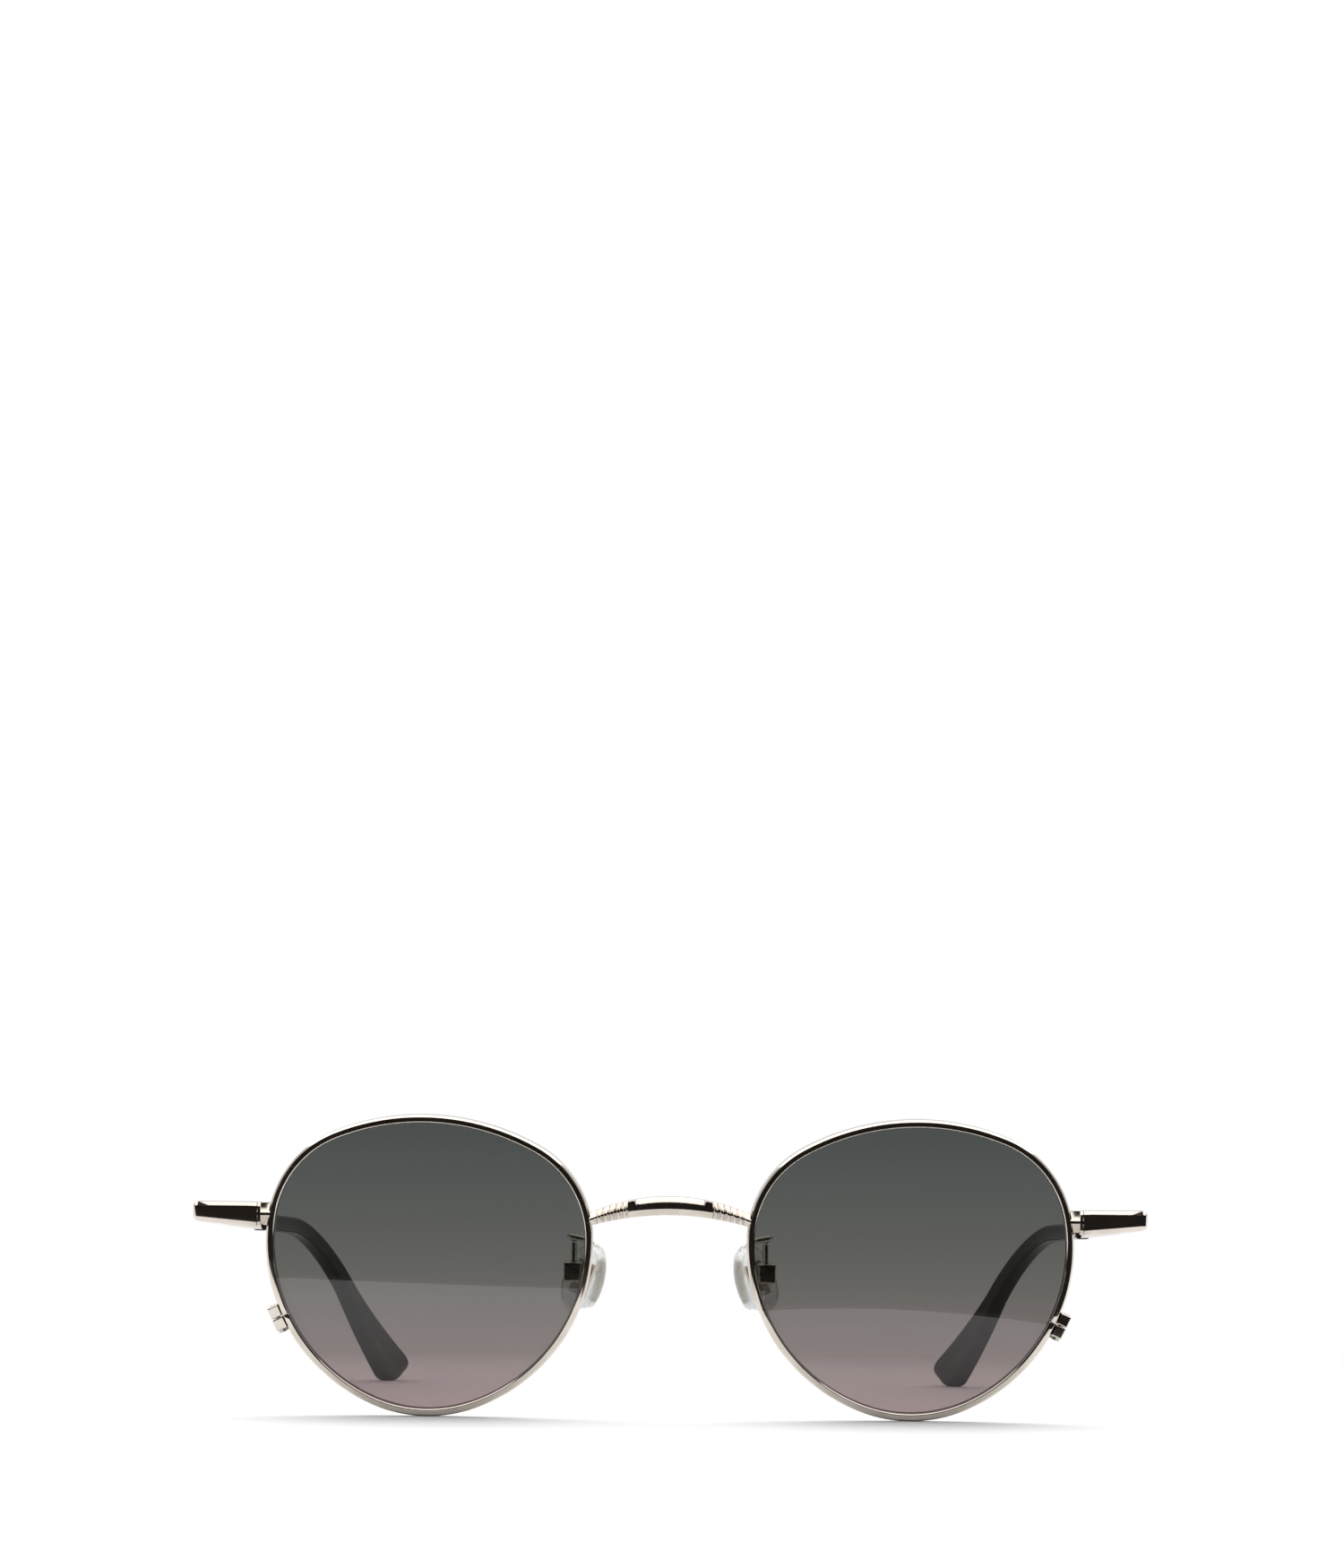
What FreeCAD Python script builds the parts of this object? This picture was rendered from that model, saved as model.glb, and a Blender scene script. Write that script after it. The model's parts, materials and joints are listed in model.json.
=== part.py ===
"""Round wire spectacles with tinted lenses, modelled open and standing on their rims.

Row frame: +Z up, +Y towards the ends of the temples, +X towards the wearer's left.
Front frame: the plane of the front, whose top leans forward by front_tilt. Its origin is midway
between the lens centres, +Z runs up the front and +Y points back through the lenses.
Temple frame: its origin is on the hinge axis, +Y runs back along the temple and +Z is the
hinge axis. The wearer's left side is modelled, and the right side is its mirror image.
"""
import FreeCAD, Part
import math
import os

import Sketcher

SIZES = [
    # lens outline: four kinds of arc, tangent to each other
    ("lens_width", 47.1), ("lens_height", 43.5), ("lens_spacing", 72.0),
    ("top_ratio", 0.7304), ("corner_ratio", 0.3506), ("bottom_ratio", 0.4713), ("bottom_turn", 67.0),
    ("lens_roll", 3.2), ("front_wrap", 2.0), ("front_tilt", 7.5), ("base_radius", 132.0),
    ("lens_thickness", 1.8), ("lens_setback", 0.2), ("tongue_thickness", 0.8),
    # rim wire
    ("rim_depth", 2.2), ("rim_web", 0.75), ("groove_depth", 0.4), ("seat_clearance", 0.02),
    ("rim_bevel_front", 0.3), ("rim_bevel_back", 0.2), ("rim_bevel_inside", 0.1),
    # rim lock
    ("lock_angle", -23.0), ("block_length", 1.75), ("block_height", 1.6), ("block_depth", 2.4),
    ("rim_gap", 0.15), ("lock_screw_diameter", 0.9), ("screw_clearance", 0.03), ("lock_head_height", 0.5),
    ("head_ratio", 1.6),
    # bridge
    ("bridge_apex", 10.7), ("bridge_height", 2.7), ("bridge_depth", 2.1),
    ("bridge_top_radius", 29.0), ("bridge_under_radius", 42.0), ("bridge_bevel", 0.45),
    # endpieces
    ("endpiece_top", 9.1), ("endpiece_root_height", 3.66), ("endpiece_tip_height", 2.8),
    ("endpiece_length", 9.5), ("endpiece_thickness", 1.5), ("endpiece_bevel", 0.45),
    ("endpiece_proud", 0.1), ("neck_height", 3.1), ("neck_length", 1.2), ("neck_recess", 0.25),
    ("hinge_setback", 5.6),
    # hinges
    ("barrel_diameter", 2.2), ("leaf_thickness", 0.7), ("leaf_length", 3.6), ("leaf_root_gap", 0.9),
    ("hinge_height", 2.3), ("hinge_gap", 0.06), ("barrel_clearance", 0.15),
    ("hinge_screw_diameter", 1.0), ("running_clearance", 0.03), ("small_head_height", 0.3),
    # temples
    ("arm_thickness", 1.3), ("arm_height", 2.4), ("arm_length", 59.0), ("temple_bow", 490.0),
    ("tip_bow", 92.0), ("temple_slope", 1.95), ("core_thickness", 0.9), ("core_height", 1.4),
    ("core_root", 2.0), ("core_drop", 16.0), ("tip_thickness", 2.4), ("tip_height", 2.7),
    ("bend_start", 80.0), ("bend_radius", 34.5), ("bend_angle", 46.5), ("tip_end_height", 5.8),
    ("tip_end_corner", 2.1), ("tip_edge", 0.6),
    # nose pads
    ("arm_wire", 0.9), ("arm_weld", 0.3), ("arm_angle", 11.5), ("box_width", 2.8), ("box_depth", 1.7),
    ("box_height", 3.1), ("box_wall", 0.45), ("box_corner", 0.45), ("pad_screw_diameter", 0.8),
    ("pad_length", 11.0), ("pad_width", 7.4), ("pad_thickness", 2.6), ("pad_edge", 1.0),
    ("pad_splay", 46.0), ("pad_lean", 19.0), ("lug_clearance", 0.08), ("lug_height", 1.2),
    ("lug_reach", 1.7), ("stem_width", 0.7), ("insert_width", 3.4), ("insert_height", 5.2),
    ("insert_thickness", 0.5),
]
DERIVED = [
    ("top_radius", "lens_width * top_ratio"),
    ("corner_radius", "lens_height * corner_ratio"),
    ("bottom_radius", "lens_height * bottom_ratio"),
    ("corner_x", "lens_width / 2 - corner_radius"),
    ("corner_z", "lens_height / 2 - top_radius + sqrt((top_radius - corner_radius) ^ 2 - corner_x ^ 2)"),
    ("bottom_z", "bottom_radius - lens_height / 2"),
    # the side arc leaves the bottom arc at bottom_turn, and is as large as it must be to meet the corner arc
    ("arc_rise", "corner_z - bottom_z"),
    ("arc_step", "bottom_radius - corner_radius"),
    ("arc_lean", "corner_x * cos(bottom_turn * 1deg) - arc_rise * sin(bottom_turn * 1deg)"),
    ("side_extra", "(corner_x ^ 2 + arc_rise ^ 2 - arc_step ^ 2) / 2 / (arc_step - arc_lean)"),
    ("side_radius", "bottom_radius + side_extra"),
    ("nasal_x", "lens_spacing / 2 - lens_width / 2"),
    ("root_x", "lens_spacing / 2 + lens_width / 2 + rim_web + neck_length"),
    # how far each outline lies outside the edge of the lens
    ("outset_rim", "rim_web"),
    ("outset_floor", "seat_clearance"),
    ("outset_inside", "seat_clearance - groove_depth"),
    ("outset_edge", "0 * rim_web"),
    ("outset_face", "-groove_depth"),
]

# Places on the wearer's left: x from the lens's edge beside the nose, y and z in the front frame
PAD_SCREW_PLACE = (1.65, 8.8, -1.9)
PAD_PLACE = (0.45, 11.7, -3.4)
ARM_WIRE_ROUTE = [(0.05, 4.4, 3.6), (2.75, 6.2, 3.9), (1.95, 8.6, 3.0)]
BOX_OFFSET = 0.5             # the box reaches further out than its screw
WIRE_BEND = 0.9

doc = FreeCAD.newDocument("spectacles")
sheet = doc.addObject("Spreadsheet::Sheet", "Sizes")
for row, (alias, number) in enumerate(SIZES, start=1):
    sheet.set(f"A{row}", alias)
    sheet.set(f"B{row}", str(number))
    sheet.setAlias(f"B{row}", alias)
for row, (alias, expression) in enumerate(DERIVED, start=len(SIZES) + 1):
    sheet.set(f"A{row}", alias)
    sheet.set(f"B{row}", f"={expression}")
    sheet.setAlias(f"B{row}", alias)
doc.recompute()

V = FreeCAD.Vector
X_AXIS = V(1, 0, 0)
Y_AXIS = V(0, 1, 0)
Z_AXIS = V(0, 0, 1)
REACH = 40.0                 # longer than any cut has to be
JOIN = 0.6                   # how far one piece runs into another before it is cut back or fused
PLAN_TURN = 0.9              # radians; further round than the ends of the temples


def size(alias):
    """The number in the sheet under this alias."""
    return float(getattr(sheet, alias))


def bind(thing, **expressions):
    """Bind an object's properties to the sheet."""
    for name, expression in expressions.items():
        words = expression.replace("[", "Sizes.").replace("]", "")
        thing.setExpression(name, words)


def turned(axis, degrees, place=V(0, 0, 0)):
    """A placement: turned about an axis through the place."""
    return FreeCAD.Placement(place, FreeCAD.Rotation(axis, degrees))


def box(name, low, high, placement=FreeCAD.Placement()):
    """A box between two corners of the placement's frame."""
    block = doc.addObject("Part::Box", name)
    block.Length = high[0] - low[0]
    block.Width = high[1] - low[1]
    block.Height = high[2] - low[2]
    block.Placement = placement * FreeCAD.Placement(V(*low), FreeCAD.Rotation())
    return block


def cylinder(name, diameter, low, high, placement=FreeCAD.Placement()):
    """A cylinder about the placement's z axis, between two heights; the diameter is an expression."""
    rod = doc.addObject("Part::Cylinder", name)
    bind(rod, Radius=f"({diameter}) / 2")
    rod.Height = high - low
    rod.Placement = placement * FreeCAD.Placement(V(0, 0, low), FreeCAD.Rotation())
    return rod


def combined(kind, name, base, tool):
    """A Part boolean of two objects."""
    result = doc.addObject(f"Part::{kind}", name)
    result.Base = base
    result.Tool = tool
    return result


def cut(name, base, *tools):
    """The base less each tool in turn."""
    for number, tool in enumerate(tools):
        base = combined("Cut", f"{name}_cut_{number}", base, tool)
    return base


def fused(name, *shapes):
    """Several objects as one solid."""
    union = doc.addObject("Part::MultiFuse", f"{name}_union")
    union.Shapes = list(shapes)
    union.Refine = True
    return union


def sketch_on(body, name, role):
    """A sketch on one of the body's own origin planes."""
    sketch = body.newObject("Sketcher::SketchObject", name)
    plane = next(item for item in body.Origin.OriginFeatures if item.Role == role)
    sketch.AttachmentSupport = [(plane, "")]
    sketch.MapMode = "FlatFace"
    return sketch


def dimension(sketch, kind, *items, to):
    """A driving dimension bound to the sheet; the expression is given in `to`."""
    index = sketch.addConstraint(Sketcher.Constraint(kind, *items))
    sketch.setExpression(f"Constraints[{index}]", to.replace("[", "Sizes.").replace("]", ""))


def padded(body, sketch, length, symmetric=True):
    """Pad a sketch; the length is an expression."""
    pad = body.newObject("PartDesign::Pad", f"{body.Name}_pad")
    pad.Profile = sketch
    pad.SideType = "Symmetric" if symmetric else "One side"
    bind(pad, Length=length)
    body.Tip = pad
    return pad


def edge_numbers(shape, wanted):
    """Numbers of the edges whose middle point passes the test."""
    numbers = []
    for number, edge in enumerate(shape.Edges, start=1):
        middle = edge.valueAt((edge.FirstParameter + edge.LastParameter) / 2)
        if wanted(middle, edge):
            numbers.append(number)
    return numbers


def bevelled(kind, name, base, groups):
    """A Part chamfer or fillet; groups pairs edge numbers with a size."""
    bevel = doc.addObject(f"Part::{kind}", name)
    bevel.Base = base
    bevel.Edges = [(number, amount, amount) for numbers, amount in groups for number in numbers]
    return bevel


# ---------------------------------------------------------------- lens outline

def outline(outset):
    """Centres, radii and joining angles of the right half of the outline, moved out by outset."""
    half_height = size("lens_height") / 2 + outset
    top = size("top_radius") + outset
    corner = size("corner_radius") + outset
    side = size("side_radius") + outset
    bottom = size("bottom_radius") + outset
    top_centre = V(0, half_height - top)
    bottom_centre = V(0, bottom - half_height)
    corner_x = size("corner_x")
    corner_centre = V(corner_x, top_centre.y + math.sqrt((top - corner) ** 2 - corner_x ** 2))
    # the side arc touches the bottom arc and the corner arc from outside
    span = corner_centre - bottom_centre
    along = (span.Length ** 2 + (side - bottom) ** 2 - (side - corner) ** 2) / (2 * span.Length)
    across = math.sqrt((side - bottom) ** 2 - along ** 2)
    unit = V(span).normalize()
    side_centre = bottom_centre + unit * along + V(-unit.y, unit.x) * across
    to_corner = corner_centre - side_centre
    to_bottom = bottom_centre - side_centre
    angles = (math.atan2(corner_centre.y - top_centre.y, corner_x),
              math.atan2(to_corner.y, to_corner.x),
              math.atan2(to_bottom.y, to_bottom.x))
    centres = (top_centre, corner_centre, side_centre, bottom_centre)
    return centres, (top, corner, side, bottom), angles


def outline_sketch(body, name, outset):
    """The closed outline: six tangent arcs; outset is an alias."""
    centres, radii, (top_join, side_join, bottom_join) = outline(size(outset))
    sketch = sketch_on(body, name, "XZ_Plane")
    half_turn = math.pi
    arcs = [(centres[0], radii[0], top_join, half_turn - top_join),
            (mirrored(centres[1]), radii[1], half_turn - top_join, half_turn - side_join),
            (mirrored(centres[2]), radii[2], half_turn - side_join, half_turn - bottom_join),
            (centres[3], radii[3], half_turn - bottom_join, 2 * half_turn + bottom_join),
            (centres[2], radii[2], bottom_join, side_join),
            (centres[1], radii[1], side_join, top_join)]
    for centre, radius, start, end in arcs:
        sketch.addGeometry(Part.ArcOfCircle(Part.Circle(centre, Z_AXIS, radius), start, end), False)
    for number in range(len(arcs)):
        following = (number + 1) % len(arcs)
        sketch.addConstraint(Sketcher.Constraint("Tangent", number, 2, following, 1))
    kinds = ["top", "corner", "side", "bottom", "side", "corner"]
    for number, kind in enumerate(kinds):
        dimension(sketch, "Radius", number, arcs[number][1], to=f"[{kind}_radius] + [{outset}]")
    for number in (0, 3):
        sketch.addConstraint(Sketcher.Constraint("PointOnObject", number, 3, -2))
    dimension(sketch, "DistanceY", 0, 3, -1, 1, -centres[0].y, to="[top_radius] - [lens_height] / 2")
    dimension(sketch, "DistanceY", -1, 1, 3, 3, centres[3].y, to="[bottom_z]")
    for number, order in ((1, (1, 3, -1, 1)), (5, (-1, 1, 5, 3))):
        dimension(sketch, "DistanceX", *order, centres[1].x, to="[corner_x]")
    return sketch


def mirrored(point):
    """The point on the other side of the lens."""
    return V(-point.x, point.y, point.z)


def outline_point(angle, outset):
    """The point of the outline in this direction from the lens centre, and its normal angle."""
    centres, radii, joins = outline(outset)
    limits = (math.pi / 2, *joins, -math.pi / 2)
    ray = V(math.cos(math.radians(angle)), math.sin(math.radians(angle)))
    for centre, radius, upper, lower in zip(centres, radii, limits, limits[1:]):
        along = ray.dot(centre)
        point = ray * (along + math.sqrt(along ** 2 - centre.dot(centre) + radius ** 2))
        normal = math.atan2(point.y - centre.y, point.x - centre.x)
        if lower <= normal <= upper:
            return point, math.degrees(normal)
    raise ValueError("no point of the outline lies in this direction")


lens_place = (turned(Z_AXIS, size("front_wrap"), V(size("lens_spacing") / 2, 0, 0))
              * turned(Y_AXIS, -size("lens_roll")))
crown = math.sqrt(size("base_radius") ** 2 - (size("lens_width") / 2) ** 2)


def outline_block(name, outset):
    """A prism over the lens outline, in its place in the front frame."""
    body = doc.addObject("PartDesign::Body", name)
    sketch = outline_sketch(body, f"{name}_outline", outset)
    padded(body, sketch, "12 * [rim_depth]")
    body.Placement = lens_place
    return body


def shell(name, front, back):
    """The space between two depths behind the rim's spherical front."""
    balls = []
    for part, depth in (("front", front), ("back", back)):
        ball = doc.addObject("Part::Sphere", f"{name}_{part}")
        bind(ball, Radius=f"[base_radius] - ({depth})")
        ball.Placement = lens_place * FreeCAD.Placement(V(0, crown, 0), FreeCAD.Rotation())
        balls.append(ball)
    return combined("Cut", f"{name}_shell", balls[0], balls[1])


# ---------------------------------------------------------------- rim and lens

rim_outside = outline_block("rim_outside", "outset_rim")
rim_inside = outline_block("rim_inside", "outset_inside")
groove_floor = outline_block("groove_floor", "outset_floor")
lens_edge = outline_block("lens_edge", "outset_edge")
lens_face = outline_block("lens_face", "outset_face")
TONGUE_FRONT = "[rim_depth] / 2 - [tongue_thickness] / 2"
TONGUE_BACK = "[rim_depth] / 2 + [tongue_thickness] / 2"

ring = combined("Common", "ring", cut("ring", rim_outside, rim_inside),
                shell("rim_shell", "0", "[rim_depth]"))
groove = combined("Common", "groove", groove_floor,
                  shell("groove_shell", f"{TONGUE_FRONT} - [seat_clearance]",
                        f"{TONGUE_BACK} + [seat_clearance]"))
lens_disc = combined("Common", "lens_disc", lens_face,
                     shell("lens_shell", "[lens_setback]", "[lens_setback] + [lens_thickness]"))
lens_tongue = combined("Common", "lens_tongue", lens_edge,
                       shell("tongue_shell", TONGUE_FRONT, TONGUE_BACK))
lens = fused("lens", lens_disc, lens_tongue)
doc.recompute()


def rim_edges(front, outside):
    """The ring's edges on its front or back face, on its outside or inside."""
    ball_centre = lens_place.multVec(V(0, crown, 0))
    radius = size("base_radius") - (0 if front else size("rim_depth"))
    to_lens = lens_place.inverse()
    lens_outline = Part.Face(Part.Wire(doc.getObject("groove_floor_outline").Shape.Edges))

    def wanted(middle, edge):
        local = to_lens.multVec(middle)
        inside = lens_outline.isInside(V(local.x, 0, local.z), 0.001, True)
        on_face = abs((middle - ball_centre).Length - radius) < 0.01
        return on_face and inside != outside
    return edge_numbers(ring.Shape, wanted)


ring_bevelled = bevelled("Chamfer", "ring_bevelled", ring, [
    (rim_edges(True, True), size("rim_bevel_front")),
    (rim_edges(False, True), size("rim_bevel_back")),
    (rim_edges(True, False), size("rim_bevel_inside")),
    (rim_edges(False, False), size("rim_bevel_inside"))])


def face_depth(point):
    """How far behind the rim's front corner level the spherical front lies at this point."""
    return crown - math.sqrt(size("base_radius") ** 2 - point.x ** 2 - point.y ** 2)


def screw(name, thread, length, head, head_height, placement):
    """A slotted screw: its shank runs up from z = 0 and its head hangs below."""
    shank = cylinder(f"{name}_shank", thread, 0, length, placement)
    cap = cylinder(f"{name}_head", head, -head_height, 0, placement)
    half_slot = size("lock_screw_diameter") / 8
    slot = box(f"{name}_slot", (-REACH, -half_slot, -REACH), (REACH, half_slot, -head_height / 2), placement)
    return cut(name, fused(name, shank, cap), slot)


# ---------------------------------------------------------------- rim lock

lock_point, lock_normal = outline_point(size("lock_angle"), size("rim_web"))
lock_depth = face_depth(lock_point) + size("rim_depth") / 2
# lock frame: +X away from the rim, +Z up along the rim, +Y back
lock_place = (lens_place * FreeCAD.Placement(V(lock_point.x, lock_depth, lock_point.y), FreeCAD.Rotation())
              * turned(Y_AXIS, -lock_normal))
half_gap = size("rim_gap") / 2
half_depth = size("block_depth") / 2
lock_length = half_gap + size("block_length")
slit_reach = 2 * (size("rim_web") + size("groove_depth"))
slit = box("rim_slit", (-slit_reach, -REACH / 4, -half_gap), (slit_reach, REACH / 4, half_gap), lock_place)
rim = cut("rim", ring_bevelled, groove, slit)
lock_screw_place = lock_place * turned(Z_AXIS, 0, V(size("block_height") / 2, 0, -lock_length))
lock_bore = cylinder("lock_bore", "[lock_screw_diameter] + 2 * [screw_clearance]", 0, 2 * lock_length,
                     lock_screw_place)
closing_blocks = {}
for word, low, high in (("upper", half_gap, lock_length), ("lower", -lock_length, -half_gap)):
    name = f"closing_block_{word}"
    raw = box(f"{name}_raw", (-2 * JOIN, -half_depth, low), (size("block_height"), half_depth, high),
              lock_place)
    rounded = bevelled("Fillet", f"{name}_rounded", raw, [(range(1, 13), size("rim_bevel_back"))])
    closing_blocks[name] = cut(name, rounded, rim_outside, lock_bore)
closing_screw = screw("closing_screw", "[lock_screw_diameter]", 2 * lock_length,
                      "[lock_screw_diameter] * [head_ratio]", size("lock_head_height"), lock_screw_place)

# ---------------------------------------------------------------- bridge

other_rim = doc.addObject("Part::Mirroring", "other_rim_outside")
other_rim.Source = rim_outside
other_rim.Normal = X_AXIS
bridge_body = doc.addObject("PartDesign::Body", "bridge_bar")
bridge_sketch = sketch_on(bridge_body, "bridge_outline", "XZ_Plane")
nasal_depth = -math.sin(math.radians(size("front_wrap"))) * size("lens_width") / 2
bridge_reach = size("nasal_x") + JOIN


def arch_angle(radius):
    """Half the angle that an arch of this radius takes to reach the rims."""
    return math.asin(bridge_reach / radius)


for radius_name, apex in (("bridge_top_radius", size("bridge_apex")),
                          ("bridge_under_radius", size("bridge_apex") - size("bridge_height"))):
    radius = size(radius_name)
    half = arch_angle(radius)
    circle = Part.Circle(V(0, apex - radius, 0), Z_AXIS, radius)
    bridge_sketch.addGeometry(Part.ArcOfCircle(circle, math.pi / 2 - half, math.pi / 2 + half), False)
ends = [bridge_sketch.Geometry[arc].value(bridge_sketch.Geometry[arc].FirstParameter) for arc in (0, 1)]
for side in (1, -1):
    corners = [V(side * end.x, end.y) for end in ends]
    bridge_sketch.addGeometry(Part.LineSegment(*corners), False)
for line, end in ((2, 1), (3, 2)):
    bridge_sketch.addConstraint(Sketcher.Constraint("Coincident", line, 1, 0, end))
    bridge_sketch.addConstraint(Sketcher.Constraint("Coincident", line, 2, 1, end))
    bridge_sketch.addConstraint(Sketcher.Constraint("Vertical", line))
for arc, word, apex in ((0, "top", "[bridge_apex]"), (1, "under", "([bridge_apex] - [bridge_height])")):
    radius = size(f"bridge_{word}_radius")
    dimension(bridge_sketch, "Radius", arc, radius, to=f"[bridge_{word}_radius]")
    bridge_sketch.addConstraint(Sketcher.Constraint("PointOnObject", arc, 3, -2))
    dimension(bridge_sketch, "DistanceY", arc, 3, -1, 1, radius - size("bridge_apex"),
              to=f"[bridge_{word}_radius] - {apex}")
for order in ((-1, 1, 0, 1), (0, 2, -1, 1)):
    dimension(bridge_sketch, "DistanceX", *order, bridge_reach, to=f"[nasal_x] + {JOIN}")
padded(bridge_body, bridge_sketch, "[bridge_depth]")
bridge_body.Placement = turned(Z_AXIS, 0, V(0, nasal_depth + size("rim_depth") / 2, 0))
doc.recompute()
# the long edges run over the arch; the short ones end inside the rims
bridge_edges = edge_numbers(bridge_body.Shape, lambda middle, edge: edge.Length > bridge_reach)
bridge_bevelled = bevelled("Chamfer", "bridge_bevelled", bridge_body, [(bridge_edges, size("bridge_bevel"))])
bridge = cut("bridge", bridge_bevelled, rim_outside, other_rim)

# ---------------------------------------------------------------- endpiece

temple_side_depth = -nasal_depth
root_x = size("root_x")
tip_x = root_x + size("endpiece_length")
top_z = size("endpiece_top")
plate_body = doc.addObject("PartDesign::Body", "endpiece_plate")
plate_sketch = sketch_on(plate_body, "endpiece_outline", "XZ_Plane")
corners = [V(root_x, top_z), V(root_x, top_z - size("endpiece_root_height")),
           V(tip_x, top_z - size("endpiece_tip_height")), V(tip_x, top_z)]
for number in range(4):
    plate_sketch.addGeometry(Part.LineSegment(corners[number], corners[(number + 1) % 4]), False)
for number in range(4):
    plate_sketch.addConstraint(Sketcher.Constraint("Coincident", number, 2, (number + 1) % 4, 1))
for number in (0, 2):
    plate_sketch.addConstraint(Sketcher.Constraint("Vertical", number))
plate_sketch.addConstraint(Sketcher.Constraint("Horizontal", 3))
dimension(plate_sketch, "DistanceY", 0, 2, 0, 1, size("endpiece_root_height"), to="[endpiece_root_height]")
dimension(plate_sketch, "DistanceY", 2, 1, 2, 2, size("endpiece_tip_height"), to="[endpiece_tip_height]")
dimension(plate_sketch, "DistanceX", 3, 2, 3, 1, size("endpiece_length"), to="[endpiece_length]")
dimension(plate_sketch, "DistanceY", -1, 1, 3, 1, top_z, to="[endpiece_top]")
dimension(plate_sketch, "DistanceX", -1, 1, 3, 2, root_x, to="[root_x]")
padded(plate_body, plate_sketch, "[endpiece_thickness]")
plate_front = temple_side_depth - size("endpiece_proud")
plate_back = plate_front + size("endpiece_thickness")
plate_body.Placement = turned(Z_AXIS, 0, V(0, (plate_front + plate_back) / 2, 0))
doc.recompute()
plate_edges = edge_numbers(plate_body.Shape, lambda middle, edge: abs(middle.y - plate_front) < 0.01)
plate = bevelled("Chamfer", "endpiece_bevelled", plate_body, [(plate_edges, size("endpiece_bevel"))])

barrel_radius = size("barrel_diameter") / 2
leaf_outside = barrel_radius + size("barrel_clearance")
hinge_x = tip_x - size("arm_thickness") - leaf_outside
hinge_y = plate_front + size("hinge_setback")
# the temples slope down while the front leans forward, so the two frames differ by both angles
temple_turn = -size("temple_slope") - size("front_tilt")
hinge_drop = size("hinge_setback") * math.sin(math.radians(-temple_turn))
hinge_z = top_z - size("endpiece_tip_height") / 2 - hinge_drop
hinge_place = turned(X_AXIS, temple_turn, V(hinge_x, hinge_y, hinge_z))
half_hinge = size("hinge_height") / 2
half_hinge_gap = size("hinge_gap") / 2
half_arm = size("arm_height") / 2
# the leg runs back from inside the plate, in line with the temple
leg = box("endpiece_leg", (leaf_outside, size("endpiece_thickness") / 2 - size("hinge_setback"), -half_arm),
          (leaf_outside + size("arm_thickness"), -half_hinge_gap, half_arm), hinge_place)
neck_z = top_z - size("endpiece_root_height") / 2
half_neck = size("neck_height") / 2
neck = box("endpiece_neck", (size("lens_spacing") / 2, plate_front + size("neck_recess"), neck_z - half_neck),
           (root_x + JOIN / 2, plate_back, neck_z + half_neck))
endpiece = cut("endpiece", fused("endpiece", plate, leg, neck), rim_outside)

# ---------------------------------------------------------------- hinge

knuckle = (size("hinge_height") - 2 * size("hinge_gap")) / 3
levels = {"lower": (-half_hinge, -half_hinge + knuckle), "middle": (-knuckle / 2, knuckle / 2),
          "upper": (half_hinge - knuckle, half_hinge)}
FIXED_BORE = "[hinge_screw_diameter]"
RUNNING_BORE = "[hinge_screw_diameter] + 2 * [running_clearance]"
past_barrel = barrel_radius + size("hinge_gap")


def leaf(name, ends, barrel_levels, open_levels, bore, place):
    """A hinge leaf: a plate with barrels at some levels, cut away round the other leaf's barrels."""
    low, high = ends
    shapes = [box(f"{name}_plate", (leaf_outside - size("leaf_thickness"), low, -half_hinge),
                  (leaf_outside, high, half_hinge), place)]
    for level in barrel_levels:
        shapes.append(cylinder(f"{name}_{level}", "[barrel_diameter]", *levels[level], place))
    tools = [cylinder(f"{name}_bore", bore, -REACH, REACH, place)]
    for level in open_levels:
        bottom, top = levels[level]
        reach = (-past_barrel, REACH) if high < past_barrel else (-REACH, past_barrel)
        tools.append(box(f"{name}_clear_of_{level}", (-REACH, reach[0], bottom - size("hinge_gap")),
                         (REACH, reach[1], top + size("hinge_gap")), place))
    return cut(name, fused(name, *shapes), *tools)


leaf_root = plate_back - hinge_y + size("leaf_root_gap")
front_leaf = leaf("hinge_front_leaf", (leaf_root, -half_hinge_gap), ("lower", "upper"),
                  ("middle",), FIXED_BORE, hinge_place)
temple_leaf_raw = leaf("hinge_temple_leaf", (half_hinge_gap, size("leaf_length")), ("middle",),
                       ("lower", "upper"), RUNNING_BORE, turned(Z_AXIS, 0))
hinge_screw = screw("hinge_screw", "[hinge_screw_diameter]", size("hinge_height"),
                    "[hinge_screw_diameter] * [head_ratio]", size("small_head_height"),
                    hinge_place * turned(X_AXIS, 180, V(0, 0, half_hinge)))

# ---------------------------------------------------------------- temple

front_place = turned(X_AXIS, size("front_tilt"))
arm_middle = leaf_outside + size("arm_thickness") / 2


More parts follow.
